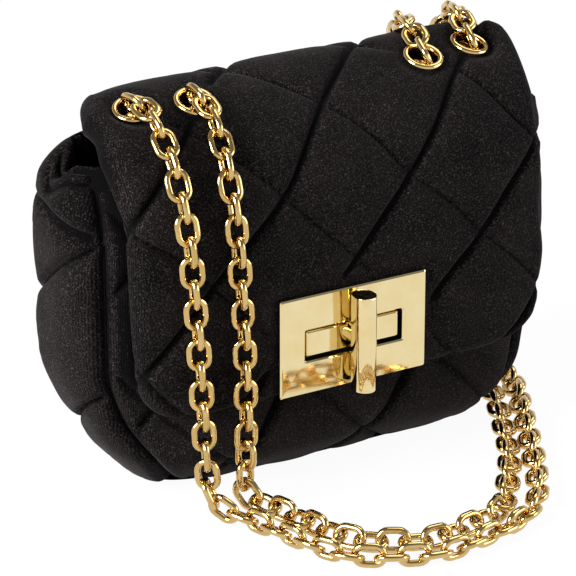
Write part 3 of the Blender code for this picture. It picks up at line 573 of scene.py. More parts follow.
def linkFrames(line, rolls, spreads):
    # a turn for each link: along the chain, every second link turned away from its neighbours
    tangents = np.gradient(line, axis=0)
    tangents /= np.linalg.norm(tangents, axis=1, keepdims=True)
    side = Vector((0, -1, 0))
    halfWide, halfLong = (strap.linkWidth - strap.wire) / 2, (strap.linkLength - strap.wire) / 2
    turns, drops = [], []
    for i, tangent in enumerate(tangents):
        tangent = Vector(tangent)
        side = (side - tangent * side.dot(tangent)).normalized()
        face = Matrix.Rotation(math.radians(rolls[i] + spreads[i] * (i % 2)), 3, tangent) @ side
        flank = face.cross(tangent)
        turns.append(tuple(Matrix((tangent, flank, face)).transposed().to_euler()))
        drops.append(abs(tangent.z) * (halfLong - halfWide) + halfWide * math.hypot(tangent.z, flank.z)
                     + strap.wire / 2)
    return turns, np.array(drops)  # and how far each link reaches down


def hangLinks(name, points, turns):
    mesh = bpy.data.meshes.new(name)
    mesh.from_pydata([tuple(p) for p in points], [], [])
    mark = mesh.attributes.new("linkTurn", "FLOAT_VECTOR", "POINT")
    mark.data.foreach_set("vector", np.array(turns, np.float32).ravel())
    obj = addObject(name, mesh)
    modifier = obj.modifiers.new("links", "NODES")
    modifier.node_group = linkTree
    modifier[linkTree.interface.items_tree["Finish"].identifier] = linkGold
    settle(obj)
    return obj


chainBlend = Sizes(
    frontStart=(0.0, -0.010, 0.138), frontEnd=(0.0, -0.003, 0.1395), rearStart=(0.0, 0.026, 0.126),
    rearEnd=(0.0, -0.003, 0.139),
)


def makeStrand(label, node, route, x, startRoll, twist):
    leftSeat, leftAxis = eyeletPlace(-x)
    rightSeat, rightAxis = eyeletPlace(x)
    hang, floor, rise = (np.array(route[part]) / 1000 for part in ("hang", "floor", "rise"))
    line = smoothLine([leftSeat + leftAxis * strap.lead, *(hang - (x, 0, 0)), *floor, *(rise + (x, 0, 0)),
                       rightSeat + rightAxis * strap.lead], strap.fineness)
    line = np.vstack([tuple(leftSeat - leftAxis * strap.endDepth), line,
                      tuple(rightSeat - rightAxis * strap.endDepth)])
    spots, count, length = linkSpots(line)
    low = unit((strap.lowZ - spots[:, 2]) / strap.lowRise)
    uneven = np.random.default_rng(strap.seed).uniform(-1, 1, count) * strap.rollUneven
    rolls = startRoll + (strap.floorRoll - startRoll) * low + uneven
    rolls = rolls + twist * rising(np.arange(count) / count, strap.twistFrom, strap.twistOver)
    turns, drops = linkFrames(spots, rolls, 90 + strap.floorSpread * low)
    spots[:, 2] = np.maximum(spots[:, 2], drops)
    split = next(i for i in range(count) if spots[i, 2] < strap.splitZ and spots[i, 1] > strap.splitY)
    cutAt = split * length / count
    made = []
    for part, pick, a, b, reverse in (("front", slice(0, split), 0, cutAt, False),
                                      ("rear", slice(split, count), cutAt, length, True)):
        piece = hangLinks("chain_" + label + "_" + part, spots[pick], turns[pick])
        path = pointsOn(line, np.linspace(a, b, strap.pathSteps))
        path = path[::-1] if reverse else path
        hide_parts(node)
        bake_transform(piece)
        made.append((piece, path, lineLength(path)))
    print("chain", label, "length", round(length, 4), "links", count)
    return made


def makeInnerTurn(name, node, x1, x2):
    # the chain passes from eyelet to eyelet under the flap
    (seat1, axis1), (seat2, axis2) = eyeletPlace(x1), eyeletPlace(x2)
    first, last = seat1 - axis1 * strap.turnDepth, seat2 - axis2 * strap.turnDepth
    middle, across = (first + last) / 2, (first - last) / 2
    down = -axis1 * across.length
    angles = [math.pi * i / strap.turnSteps for i in range(strap.turnSteps + 1)]
    bend = [middle + across * math.cos(angle) + down * math.sin(angle) for angle in angles]
    line = np.array([tuple(p) for p in [seat1 - axis1 * strap.tubeEnd, *bend, seat2 - axis2 * strap.tubeEnd]])
    spots, count, _ = linkSpots(line)
    piece = hangLinks(name, spots, linkFrames(spots, np.full(count, 45), np.full(count, 90))[0])
    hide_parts(node)
    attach(piece, "flap")
    return piece


outerParts = makeStrand("outer", "chain_outer", outerRoute, strap.eyeletX[0], -12, 0)
innerParts = makeStrand("inner", "chain_inner", innerRoute, strap.eyeletX[1], 78, 90)
turnLeft = makeInnerTurn("chain_inside_left", "chain_turn_left", -strap.eyeletX[0], -strap.eyeletX[1])
turnRight = makeInnerTurn("chain_inside_right", "chain_turn_right", strap.eyeletX[1], strap.eyeletX[0])
print("chain hung")


# quilted flap

def cutOuts(across, run):  # cells left open for the lock and the eyelets
    across, run = ((grid[:-1, :-1] + grid[1:, 1:]) / 2 for grid in (across, run))
    drop = (np.abs(across) < flapCut.slotHalfW) & (np.abs(run - flapLockRun) < flapCut.slotHalfH)
    for ex, er in eyeletSpots:
        drop |= np.hypot(across - ex, run - er) < flapCut.eyeletHole
    return drop


def makeFlap(cut):
    u, v = gridOver(cut)
    u = 1.25 * u - 0.25 * u ** 3  # closer columns at the sides
    # unrolled place across and along the cloth
    roll = cut.rollLow + (cut.rollTop - cut.rollLow) * rising(v * flapFullRun, *cut.rollAt)
    reachOut = roll * cut.rollTurn - roll
    half = flapHalfWidth(v * flapFullRun)
    across = u * (half + reachOut)
    corner = cut.cornerRadius
    wide = corner - cut.rollLow + cut.rollLow * cut.rollTurn
    past = np.clip(np.abs(across) - (half - corner), 0, wide)
    lowest = corner - np.sqrt(np.maximum(wide ** 2 - past ** 2, 0))
    run = lowest + (flapFullRun - lowest) * v
    qx, qz = np.abs(across) - (half - corner), corner - run
    outside = np.hypot(np.maximum(qx, 0), np.maximum(qz, 0))
    d = outside + np.minimum(np.maximum(qx, qz), 0) - (corner - roll)
    both = np.maximum(outside, 1e-9)
    nx = np.where(outside > 0, np.maximum(qx, 0) / both, qx > qz) * np.sign(across)
    nz = -np.where(outside > 0, np.maximum(qz, 0) / both, qz >= qx)
    over = np.maximum(d, 0)
    turn = np.minimum(over / roll, cut.rollTurn)
    x = across + nx * (roll * np.sin(turn) - over)
    flare = cut.flareLow * ease(run / cut.flareFoot) * (1 - rising(run, *cut.flareEnd))
    flare = flare - cut.flareHigh * rising(run, *cut.hollowAt) * (1 - rising(run, *cut.hollowEnd))
    x = x + flare * rising(across, *cut.flareSide)
    x = x + cut.leftIn * rising(-across, *cut.leftSide) * rising(run, *cut.leftAt)
    along = run + nz * (roll * np.sin(turn) - over)
    y, z, outY, outZ = flapProfile(along)
    drop = cut.droop + (cut.topDroop - cut.droop) * rising(along, *cut.droopAt)
    sideways = np.minimum(np.abs(x) / half, 1)
    sink = drop * sideways ** cut.droopPower
    seat = np.zeros_like(sink)
    eyeletGaps = [np.hypot(across - ex, run - er) for ex, er in eyeletSpots]
    for gap in eyeletGaps:
        seat = np.maximum(seat, 1 - rising(gap, cut.eyeletSeat, cut.seatSoft))
    sink = sink * (1 - seat) + cut.solidDroop * sideways ** cut.solidPower * seat
    sink = sink + roll * (1 - np.cos(turn))
    base = np.stack([x, y - sink * outY, z - sink * outZ], -1)
    # padding
    quiltX, quiltRun = across, run
    for nx0, nz0, dx, dz in flapNudges:
        near = np.exp(-((across - nx0) ** 2 + (run - nz0) ** 2) / cut.nudgeReach ** 2)
        quiltX, quiltRun = quiltX - dx * near, quiltRun - dz * near
    height, paintedShade = quilting(quiltX, quiltRun, cut)
    patch = ((np.abs(across) - cut.patchX) / cut.patchWide) ** 2 + ((run - cut.patchRun) / cut.patchLong) ** 2
    plain = np.exp(-patch ** 2)  # no stitches between the eyelets
    height, paintedShade = height * (1 - plain) + cut.patchHeight * cut.crest * plain, paintedShade * (1 - plain)
    ridge = bell(run, cut.ridgeRun, cut.ridgeLong) * (1 - rising(np.abs(across), *cut.ridgeSide))
    height = height + cut.ridgePuff * ridge
    calm = 1 - ease((-across - half + cut.calmIn) / cut.calmSoft) * rising(run, *cut.calmAt)
    height, paintedShade = height * calm, paintedShade * calm
    puff = bell(across, cut.puffX, cut.puffWide) * bell(run, cut.puffRun, cut.puffLong)
    height = height + cut.cornerPuff * puff
    fade = 1 - rising(turn, *cut.fadeTurn)
    height = height * fade * (1 - 0.5 * ease(turn))
    plate = np.maximum(np.abs(across) - cut.plateHalfW, np.abs(run - flapLockRun) - cut.plateHalfH)
    pressed = 1 - ease(plate / cut.plateSoft)
    height = height * (1 - pressed) - cut.plateSink * pressed
    paintedShade = paintedShade * fade * (1 - pressed)
    for gap in eyeletGaps:
        dent = 1 - rising(gap, cut.eyeletDent, cut.eyeletDent)
        height = height * (1 - dent) - cut.dentSink * dent
        # painted shade in a ring round each eyelet
        paintedShade = np.maximum(paintedShade, cut.eyeletShade * bell(gap, cut.shadeAt, cut.shadeWidth))
    end = roundOver(flapFullRun - run, cut.rearRound)
    points = base + gridNormals(base) * (height + end)[..., None]
    # the rear edge goes down behind the back panel's rim, where it is sewn in
    tucked = ease((run - flapFullRun) / cut.tuckRun + 1)
    points = points - tucked[..., None] * np.array([0, cut.rearIn, cut.rearTuck])
    # painted shade on the flap's upper rolled sides, full on the left and a share of it on the right
    under = ease((np.abs(across) - half + cut.underIn) / cut.underSoft) * rising(run, *cut.underAt)
    under = under * np.where(across < 0, 1, cut.rightShade)
    marks = {"paintedShade": np.maximum(paintedShade, under), "roll": ease(turn / 0.9)}
    piece = gridPiece("flap_quilt", points, np.stack([across, run], -1), marks, cutOuts(across, run))
    thicken(piece, cut.cloth)
    dress(piece, velvet, "velvet", "flap_pad", "flap_rear_strip")
    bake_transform(piece)
    return piece


flapQuilt = makeFlap(flapCut)
print("flap quilted")


# body panels
frontCut = Sizes(
    diamondX=0.0252, diamondZ=0.0285, nodeX=0.034, nodeAlong=0.043, pillow=0.0135, crest=0.0009, crease=0.0015,
    creaseWidth=0.0015, pucker=0.0001, puckerStep=0.0052, uneven=0.0004, seed=21, columns=200, rows=150,
    cloth=0.001, edge=0.0045, footEdge=0.0026, topEdge=0.0034, seamSoft=0.006, edgeShade=0.0016, topZ=0.103,
    horn=0.009, hornAt=(0.68, 0.25), pressZ=(0.031, 0.009), pressSide=(0.07, 0.006), pressShare=0.6,
    pressSink=0.0008, bulge=0.0024, bulgeX=0.06, bulgeWide=0.018, bulgeZ=0.009, bulgeHigh=0.012, shade=0.8,
    shadeZ=(0.036, 0.01), shadeSide=(0.0775, 0.003), topShade=1.4, topShadeZ=(0.092, 0.012), brush=0.16,
    brushZ=(0.034, 0.01), rollSide=(0.004, 0.008),
)
backCut = Sizes(
    frontCut, diamondX=0.0255, diamondZ=0.0275, nodeX=0, nodeAlong=0.07, seed=31, topZ=0.1092, horn=0.0105,
    hornAt=(0.7, 0.2), leanAt=(0.6, 0.3),
)
sideCut = Sizes(
    diamondX=0.0505, diamondZ=0.0265, nodeX=-0.019, nodeZ=0.0971, shear=0.33, pillow=0.0135, crest=0.0012,
    crease=0.0018, creaseWidth=0.0016, pucker=0.00012, puckerStep=0.005, shallow=1, uneven=0.0005, seed=41,
    columns=90, rows=200, cloth=0.001, edge=0.005, bulge=0.0028, rollLow=0.0065, rollHigh=0.0108,
    rollLowZ=0.1068, rollHighZ=0.1092, frontRise=0.0045, rimTurnLow=math.radians(62),
    rimTurnHigh=math.radians(80), lip=0.0015, pocket=0.016,
    pleats=((0.0021, 0.0013, 0.0026), (0.0075, 0.0013, 0.0026)), pleatTop=0.42, pleatSoft=0.003,
    faceShare=0.7, rimShare=0.35, lipShare=0.25, lipTurn=math.radians(178), pocketAt=0.6, halfDeep=0.024,
    liftOver=0.011, frontFrom=0.002, frontOver=0.018, crossZ=(0.074, 0.012), seamSoft=0.005,
    calmZ=(0.1, 0.008), bulgeSoft=0.016, bulgeZ=(0.022, 0.045), bulgeOver=0.3, edgePast=0.1, footEdge=0.0026,
    edgeShade=0.0017, brush=0.1, brushZ=(0.085, 0.012), inShade=1.6, inShadeAt=(0.5, 0.15),
    rollSide=(0.004, 0.008), rimSoft=0.05,
)


def dressPanel(piece, cut, node):
    thicken(piece, cut.cloth)
    dress(piece, velvet, "velvet", node)
    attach(piece, "bag")


def makeFacePanel(name, node, cut, facing):
    u, v = gridOver(cut)
    u = 1.3 * u - 0.3 * u ** 3
    z = upTheSide(v, cut.topZ + cut.horn * rising(np.abs(u), *cut.hornAt))  # the corners stand higher
    halfWide, halfDeep, middle = bodySection(z)
    x = -facing * u * (halfWide - bodyCut.seamIn)
    y = middle + facing * halfDeep * otherHalf(x / halfWide)
    if facing > 0:  # its corners lean in with the side panels
        hornR = sideCut.rollHigh
        above = np.clip(z - sideCut.rollHighZ, 0, hornR)
        x = x - np.sign(x) * (hornR - np.sqrt(hornR ** 2 - above ** 2)) * rising(np.abs(u), *cut.leanAt)
    base = np.stack([x, y, z], -1)
    acrossRun, upRun = runLengths(base, 1), runLengths(base, 0)
    side = np.minimum(acrossRun, acrossRun[:, -1:] - acrossRun)
    topRun = upRun[-1:] - upRun
    if facing > 0:
        height, paintedShade = quilting(-u * (bodyCut.halfWidth - bodyCut.seamIn) + 0 * z, z, cut)
    else:  # pressed by the flap above its lower edge
        height, paintedShade = quilting(x, upRun, cut)
        under = rising(z, *cut.pressZ) * (1 - rising(np.abs(x), *cut.pressSide))
        height = height * (1 - cut.pressShare * under) - cut.pressSink * under
        spot = -((x - cut.bulgeX) / cut.bulgeWide) ** 2 - ((z - cut.bulgeZ) / cut.bulgeHigh) ** 2
        height = height + cut.bulge * np.exp(spot)
        # painted shade on the front panel under the flap, and more of it towards its top
        shade = cut.shade * rising(z, *cut.shadeZ) * (1 - rising(np.abs(x), *cut.shadeSide))
        paintedShade = np.maximum(np.maximum(paintedShade, shade), cut.topShade * rising(z, *cut.topShadeZ))
    reach = ease(side / cut.seamSoft)
    height = height * reach + roundOver(side, cut.edge) + roundOver(upRun, cut.footEdge)
    height = height + roundOver(topRun, cut.topEdge)
    points = base + gridNormals(base) * height[..., None]
    # painted shade along the panel's sides and top edge
    edge = np.exp(-(np.minimum(side, topRun) / cut.edgeShade) ** 2)
    paintedLowLight = cut.brush * (1 - rising(z, *cut.brushZ))  # painted light low on the bag, taken off the painted shade
    marks = {"paintedShade": np.maximum(paintedShade * reach, edge) - paintedLowLight, "roll": 1 - rising(side, *cut.rollSide)}
    piece = gridPiece(name, points, np.stack([x, upRun], -1), marks)
    dressPanel(piece, cut, node)


def makeSidePanel(name, node, cut, side):
    u, v = gridOver(cut)
    share = cut.faceShare
    depth = side * u  # from back to front on the left, front to back on the right
    deep = cut.halfDeep * depth  # about in metres
    lift = ease(deep / cut.liftOver)
    rollR = cut.rollLow + (cut.rollHigh - cut.rollLow) * lift
    rollZ = cut.rollLowZ + (cut.rollHighZ - cut.rollLowZ) * lift
    rollZ = rollZ + cut.frontRise * ease((cut.frontFrom - deep) / cut.frontOver)
    rimTurn = cut.rimTurnLow + (cut.rimTurnHigh - cut.rimTurnLow) * lift
    # over the top: inward on a round, a thin lip, then down into the pocket
    over = unit((v - share) / (1 - share))
    turn = unit(over / cut.rimShare) * rimTurn
    curl = rimTurn + unit((over - cut.rimShare) / cut.lipShare) * (cut.lipTurn - rimTurn)
    inward = rollR * (1 - np.cos(turn)) + cut.lip * (np.cos(rimTurn) - np.cos(curl))
    rise = rollR * np.sin(turn) + cut.lip * (np.sin(curl) - np.sin(rimTurn))
    inside = unit((over - cut.pocketAt) / (1 - cut.pocketAt))
    z = np.where(v < share, upTheSide(unit(v / share), rollZ), rollZ + rise - cut.pocket * inside)
    halfWide, halfDeep, middle = bodySection(z)
    reach = halfDeep * otherHalf((halfWide - bodyCut.seamIn) / halfWide)
    y = depth * reach
    x = side * (halfWide * otherHalf(y / halfDeep) - inward)
    base = np.stack([x, middle + y, z], -1)
    acrossRun, upRun = runLengths(base, 1), runLengths(base, 0)
    edge = np.minimum(acrossRun, acrossRun[:, -1:] - acrossRun)
    face = int(cut.rows * share)
    nodeRun = np.interp(cut.nodeZ, z[:face, cut.columns // 2], upRun[:face, cut.columns // 2])
    slanted = upRun + cut.shear * (base[..., 1] - cut.nodeX)
    keep = rising(z, *cut.crossZ)  # low down only one slant is sewn
    height, paintedShade = quilting(base[..., 1], slanted, Sizes(cut, nodeAlong=nodeRun), keep)
    soft = ease(edge / cut.seamSoft)
    calm = 1 - rising(z, *cut.calmZ) * (v < share) - (v >= share)
    bulge = cut.bulge * ease(edge / cut.bulgeSoft) * rising(z, *cut.bulgeZ) * (1 - ease(over / cut.bulgeOver))
    height = height * soft * calm + bulge
    height += roundOver(edge, cut.edge) * (v < share + cut.edgePast) + roundOver(upRun, cut.footEdge)
    # pleats below the rim, towards the front
    fold = np.zeros_like(height)
    below = upRun[int(cut.rows * (share + cut.pleatTop * (1 - share)))][None, :] - upRun
    for gap, width, sunk in cut.pleats:
        crease = np.exp(-((below - gap) / width) ** 2) * (1 - lift) * ease(edge / cut.pleatSoft)
        height -= sunk * crease
        fold = np.maximum(fold, crease)
    points = base + gridNormals(base) * height[..., None]
    # painted shade in the seam valleys, along the edges and in the pleats
    dark = np.maximum(np.maximum(paintedShade * soft * calm, bell(edge, 0, cut.edgeShade)), fold)
    # painted light low on the gusset, taken off the painted shade
    paintedLowLight = cut.brush * (1 - rising(z, *cut.brushZ))
    # painted shade past the rim, down in the pocket
    marks = {"paintedShade": np.maximum(dark, cut.inShade * rising(over, *cut.inShadeAt)) - paintedLowLight,
             "roll": np.maximum(1 - rising(edge, *cut.rollSide), ease((v - share) / cut.rimSoft))}
    piece = gridPiece(name, points, np.stack([base[..., 1], upRun], -1), marks)
    dressPanel(piece, cut, node)


def ovalGrid(cells):  # square rings, and how far each point reaches on the bag's oval
    a, b = np.meshgrid(np.linspace(-1, 1, cells), np.linspace(-1, 1, cells))
    ring = np.maximum(np.maximum(np.abs(a), np.abs(b)), 1e-9)
    a, b, power = a / ring, b / ring, bodyCut.power
    return a, b, ring, (np.abs(a) ** power + np.abs(b) ** power) ** (-1 / power)


baseCut = Sizes(cells=60, cloth=0.001, flatShare=0.78, rise=0.0022)


def makeBase(cut):
    a, b, ring, reach = ovalGrid(cut.cells)
    lift = unit((ring - cut.flatShare) / (1 - cut.flatShare))
    z = cut.rise * lift ** 2
    halfWide, halfDeep, middle = bodySection(z)
    x = -a * reach * halfWide * ring
    y = middle * ring + b * reach * halfDeep * ring
    # painted shade towards the base's rim
    marks = {"paintedShade": 0.6 * lift ** 3, "roll": lift}
    piece = gridPiece("base_velvet", np.stack([x, y, z], -1), np.stack([x, y], -1), marks)
    dressPanel(piece, cut, "base_panel")


makeFacePanel("front_quilt", "front_panel", frontCut, -1)
makeFacePanel("back_quilt", "back_panel", backCut, 1)
makeSidePanel("left_side_quilt", "left_gusset", sideCut, -1)
makeSidePanel("right_side_quilt", "right_gusset", sideCut, 1)
makeBase(baseCut)
print("body quilted")


# linings
bagLiningCut = Sizes(
    inset=0.0062, topIn=0.0022, topInZ=0.09, topInRise=0.012, topZ=0.102, floorZ=0.0078, floorIn=0.004,
    folds=22, foldDeep=0.0007, cells=120, flatShare=0.25, cloth=0.0005, seed=61, sheetWide=0.36,
)
flapLiningCut = Sizes(
    depth=0.0056, margin=0.0062, columns=90, rows=110, cloth=0.0005, firstRun=0.0052, endRun=0.004,
    uneven=0.0002, seed=71, sheetWide=0.16,
)


def dressLining(piece, cut, node, body):
    thicken(piece, cut.cloth)
    dress(piece, satin, "lining", node)
    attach(piece, body)


def makeBagLining(cut):
    a, b, ring, reach = ovalGrid(cut.cells)
    flat = ring <= cut.flatShare
    v = unit((ring - cut.flatShare) / (1 - cut.flatShare))
    z = upTheSide(v, cut.topZ) - bodyCut.seamZ * (1 - ease(v / 0.1))
    halfWide, halfDeep, middle = bodySection(z)
    inset = cut.inset - cut.topIn * rising(z, cut.topInZ, cut.topInRise)
    wave = np.sin(np.arctan2(b, a) * cut.folds + 3 * softNoise(a, z, 0.05, cut.seed))
    inset = inset + cut.foldDeep * wave * ease(z / 0.05) + cut.foldDeep
    floorShare = reach * ring / cut.flatShare
    wallX, wallY = a * reach * (halfWide - inset), middle + b * reach * (halfDeep - inset)
    x = np.where(flat, a * floorShare * (bodyCut.baseHalfWidth - cut.floorIn), wallX)
    y = np.where(flat, b * floorShare * (bodyCut.baseHalfDepth - cut.floorIn), wallY)
    wallZ = np.maximum(z, 0) * (cut.topZ - cut.floorZ) / cut.topZ + cut.floorZ
    z = np.where(flat, cut.floorZ, wallZ)
    piece = gridPiece("bag_inside_lining", np.stack([x, y, z], -1), np.stack([x, z], -1))
    dressLining(piece, cut, "bag_lining", "bag")


def makeFlapLining(cut):
    u, v = gridOver(cut)
    run = cut.firstRun + (flapCut.foldRun - cut.endRun - cut.firstRun) * v
    half = flapHalfWidth(run) - cut.margin
    x = u * half
    corner = flapCut.cornerRadius - cut.margin
    past = np.clip(np.abs(x) - (half - corner), 0, corner)
    lift = corner - np.sqrt(np.maximum(corner ** 2 - past ** 2, 0))
    run = run + lift * (1 - v)
    y, z, outY, outZ = flapProfile(run)
    depth = cut.depth + flapCut.droop * (np.abs(x) / flapHalfWidth(run)) ** flapCut.droopPower
    depth = depth + cut.uneven * softNoise(x, run, 0.03, cut.seed)
    points = np.stack([x, y - depth * outY, z - depth * outZ], -1)
    flat = np.stack([x, run], -1)
    piece = gridPiece("flap_inside_lining", points[:, ::-1], flat[:, ::-1], None, cutOuts(x, run)[:, ::-1])
    dressLining(piece, cut, "flap_lining", "flap")


makeBagLining(bagLiningCut)
makeFlapLining(flapLiningCut)
print("linings sewn")


# lock and eyelets
lockCut = Sizes(
    z=0.052, plateW=0.056, plateH=0.035, plateBack=-0.0353, plateFront=-0.0367, crown=0.00045, bevel=0.0005,
    corner=0.0007, slotW=0.0374, slotH=0.0111, bossClear=0.001, bossFront=-0.036, flangeW=0.044, flangeH=0.022,
    flangeFront=-0.0275, flangeBack=-0.0263, barW=0.0082, barD=0.0096, barL=0.034, barBack=-0.0381,
    barBevel=0.0005, barSides=40, spindleR=0.0025, spindleEnd=-0.0191, postR=0.001, postInset=0.0035,
    postEnd=-0.0275, postSink=0.0002, sharp=24, barSharp=28,
)


def roundedLoop(halfW, halfH, radius, steps=4):
    loop = []
    for cx, cz, start in ((1, 1, 0), (-1, 1, 90), (-1, -1, 180), (1, -1, 270)):
        for i in range(steps + 1):
            turn = math.radians(start + 90 * i / steps)
            loop.append((cx * (halfW - radius) + radius * math.cos(turn),
                         cz * (halfH - radius) + radius * math.sin(turn)))
    return np.array(loop)


def loftPiece(name, loops, closed=False):
    count = len(loops[0])
    form = bmesh.new()
    rings = [[form.verts.new(tuple(p)) for p in loop] for loop in loops]
    for low, high in zip(rings, rings[1:] + rings[:1] if closed else rings[1:]):
        for i in range(count):
            j = (i + 1) % count
            form.faces.new((low[i], low[j], high[j], high[i]))
    if not closed:
        form.faces.new(rings[0][::-1])
        form.faces.new(rings[-1])
    bmesh.ops.recalc_face_normals(form, faces=form.faces[:])
    mesh = bpy.data.meshes.new(name)
    form.to_mesh(mesh)
    form.free()
    return addObject(name, mesh)


def atLock(loop, y):
    y = np.broadcast_to(y, (len(loop),))
    return np.stack([loop[:, 0], y, loop[:, 1] + lockCut.z], -1)


def joinInto(obj, others):
    form = bmesh.new()
    form.from_mesh(obj.data)
    for other in others:
        form.from_mesh(other.data)
        bpy.data.objects.remove(other)
    form.to_mesh(obj.data)
    form.free()


def rodAlongY(name, x, z, radius, front, back, sides):
    turns = np.linspace(0, 2 * math.pi, sides, endpoint=False)
    small, ring = (np.stack([x + r * np.cos(turns), z + r * np.sin(turns)], -1) for r in (0.8 * radius, radius))
    lip = 0.12 * radius
    steps = ((small, front), (ring, front + lip), (ring, back - lip), (small, back))
    return loftPiece(name, [atLock(loop, y) for loop, y in steps])


def dressMetal(obj, sharp, material, body, node):  # edges over the sharp angle stay crisp
    obj.data.polygons.foreach_set("use_smooth", np.ones(len(obj.data.polygons), bool))
    obj.data.set_sharp_from_angle(angle=math.radians(sharp))
    dress(obj, material, "gold", node)
    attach(obj, body)


def makePlate(c):
    bevel, corner = c.bevel, c.corner
    outer, inner = (c.plateW / 2, c.plateH / 2), (c.slotW / 2, c.slotH / 2)

    def crown(loop):
        return c.plateFront - c.crown * (1 - (loop[:, 1] / outer[1]) ** 2)

    edge, hole = roundedLoop(*outer, corner), roundedLoop(*inner, corner)
    lip = roundedLoop(outer[0] - bevel, outer[1] - bevel, corner)
    holeLip = roundedLoop(inner[0] + bevel, inner[1] + bevel, corner)
    loops = [atLock(edge, c.plateBack), atLock(edge, crown(edge) + bevel)]
    for share in np.linspace(0, 1, 12):
        ring = lip * (1 - share) + holeLip * share
        loops.append(atLock(ring, crown(ring)))
    loops += [atLock(hole, crown(hole) + bevel), atLock(hole, c.plateBack)]
    plate = loftPiece("lock_face_plate", loops, closed=True)
    x, z = outer[0] - c.postInset, outer[1] - c.postInset
    posts = [rodAlongY("post", sx * x, sz * z, c.postR, c.plateBack - c.postSink, c.postEnd, 12)
             for sx in (-1, 1) for sz in (-1, 1)]
    joinInto(plate, posts)
    dressMetal(plate, c.sharp, plateGold, "flap", "lock_plate")


def makeBoss(c):
    halfW, halfH = c.slotW / 2 - c.bossClear, c.slotH / 2 - c.bossClear
    wide, high, bevel = c.flangeW / 2, c.flangeH / 2, c.bevel
    steps = ((wide, high, c.flangeBack), (wide, high, c.flangeFront + bevel),
             (wide - bevel, high - bevel, c.flangeFront), (halfW, halfH, c.flangeFront),
             (halfW, halfH, c.bossFront + bevel), (halfW - bevel, halfH - bevel, c.bossFront))
    boss = loftPiece("lock_boss_block", [atLock(roundedLoop(w, h, c.corner), y) for w, h, y in steps])
    dressMetal(boss, c.sharp, plateGold, "bag", "lock_boss")


def makeBar(c):
    turns = np.linspace(0, 2 * math.pi, c.barSides, endpoint=False)
    middle = c.barBack - c.barD / 2
    bevel = c.barBevel

    def ring(inset, z):
        return np.stack([(c.barW / 2 - inset) * np.cos(turns),
                         middle + (c.barD / 2 - inset) * np.sin(turns),
                         np.full(len(turns), c.z + z)], -1)

    half = c.barL / 2
    heights = [(bevel, -half), (bevel * 0.3, -half + bevel * 0.3), (0, -half + bevel)]
    loops = [ring(i, z) for i, z in heights] + [ring(i, -z) for i, z in heights[::-1]]
    bar = loftPiece("turning_bar", loops)
    joinInto(bar, [rodAlongY("spindle", 0, 0, c.spindleR, middle, c.spindleEnd, 24)])
    dressMetal(bar, c.barSharp, plateGold, "turn_bar", "turn_bar")


# radius and rise of the eyelet's section, round the rim and down the tube
eyeletCut = Sizes(
    profile=((0.007, 0.0003), (0.00702, 0.0006), (0.0068, 0.0011), (0.0064, 0.00148), (0.0059, 0.0016),
        (0.0053, 0.00145), (0.0049, 0.001), (0.0047, 0.0003), (0.0047, -0.008), (0.0053, -0.008),
        (0.0053, 0.0002)), sides=48, sharp=50,
)


def makeEyelet(cut, name, x):
    seat, axis = eyeletPlace(x)
    place = Matrix.Translation(seat) @ axis.to_track_quat("Z", "Y").to_matrix().to_4x4()
    turns = [2 * math.pi * i / cut.sides for i in range(cut.sides)]
    loops = [[place @ Vector((radius * math.cos(turn), radius * math.sin(turn), rise)) for turn in turns]
             for radius, rise in cut.profile]
    dressMetal(loftPiece("ring_" + name, loops, closed=True), cut.sharp, linkGold, "flap", "eyelet_" + name)


def finishNode(label, material):
    nodes[label].data.materials.clear()
    nodes[label].data.materials.append(material)


makePlate(lockCut)
makeBoss(lockCut)
makeBar(lockCut)
outerX, innerX = strap.eyeletX
for name, x in (("left_outer", -outerX), ("left_inner", -innerX), ("right_inner", innerX), ("right_outer", outerX)):
    makeEyelet(eyeletCut, name, x)
    finishNode("eyelet_washer_" + name, linkGold)
for label in ("lock_frame", "lock_back_plate", "turn_clip"):
    finishNode(label, innerSteel)
finishNode("base_board", boardCover)
print("lock and eyelets set")


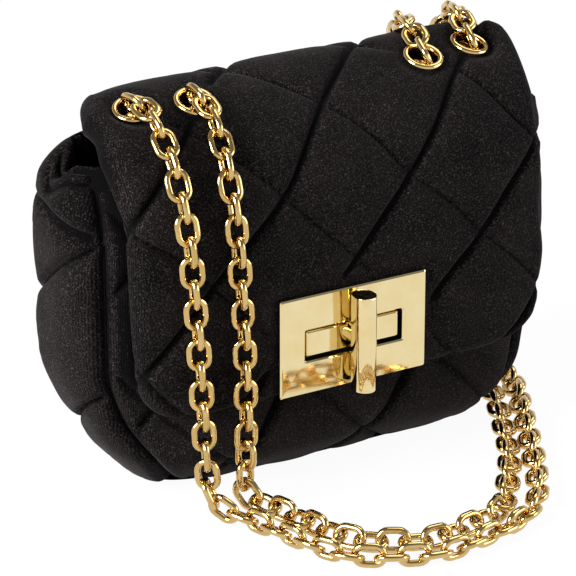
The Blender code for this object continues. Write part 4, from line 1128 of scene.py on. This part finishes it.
# floor, backdrop and light
studio = Sizes(
    floorShine=0.95, floorColour=0.9, floorHalf=4, sky=0.24, ceiling=0.25, ceilingLow=0.15, ceilingHigh=0.65,
    aim=(0, 0, 0.06),
    lamps=(("key", (-1.3, -0.15, 0.8), 0.9, 45), ("top", (0.6, 0.3, 1.45), 1.2, 11),
        ("fill", (1.3, -0.9, 0.35), 1.2, 13)),
)


def backdropRays(w):  # rays that see the background: the camera's, and those of metal and glass
    rays = w.node("ShaderNodeLightPath").outputs
    seen = w.math("MAXIMUM", rays["Is Camera Ray"], rays["Is Glossy Ray"])
    return rays["Is Camera Ray"], w.math("MAXIMUM", seen, rays["Is Transmission Ray"])


def makeFloor(s):
    mesh = bpy.data.meshes.new("floor")
    corners = [(x * s.floorHalf, y * s.floorHalf, 0) for x, y in ((-1, -1), (1, -1), (1, 1), (-1, 1))]
    mesh.from_pydata(corners, [], [(0, 1, 2, 3)])
    addObject("floor", mesh)
    material, w, shader = newMaterial("paleFloor")
    w.plug(shader, Base_Color=(*[s.floorColour] * 3, 1), Roughness=0.9, Specular_IOR_Level=0)
    glow = w.out("ShaderNodeEmission", Color=white, Strength=1)
    share = w.math("MULTIPLY", backdropRays(w)[1], s.floorShine)
    surface = w.out("ShaderNodeMixShader", **{"0": share, "1": shader.outputs[0], "2": glow})
    w.plug(w.tree.nodes["Material Output"], Surface=surface)
    mesh.materials.append(material)


def makeSky(s):  # white all round, darker overhead for what mirrors it
    world = bpy.data.worlds.new("studio")
    scene.world = world
    world.use_nodes = True
    w = Wiring(world.node_tree)
    camera, seen = backdropRays(w)
    up = w.node("ShaderNodeSeparateXYZ", Vector=w.node("ShaderNodeTexCoord").outputs["Generated"]).outputs[2]
    shown = w.math("MAXIMUM", camera, w.spread(up, s.ceilingLow, s.ceilingHigh, 1, s.ceiling))
    w.plug(w.tree.nodes["Background"], Color=white, Strength=w.spread(seen, 0, 1, s.sky, shown))


def makeLamps(s):
    for name, place, size, power in s.lamps:
        data = bpy.data.lights.new(name, "AREA")
        data.shape = "DISK"
        data.size = size
        data.energy = power
        lamp = addObject(name, data)
        lamp.location = place
        lamp.rotation_euler = (Vector(s.aim) - Vector(place)).to_track_quat("-Z", "Y").to_euler()


makeFloor(studio)
makeSky(studio)
makeLamps(studio)
scene.view_settings.view_transform = "Standard"
print("studio lit")
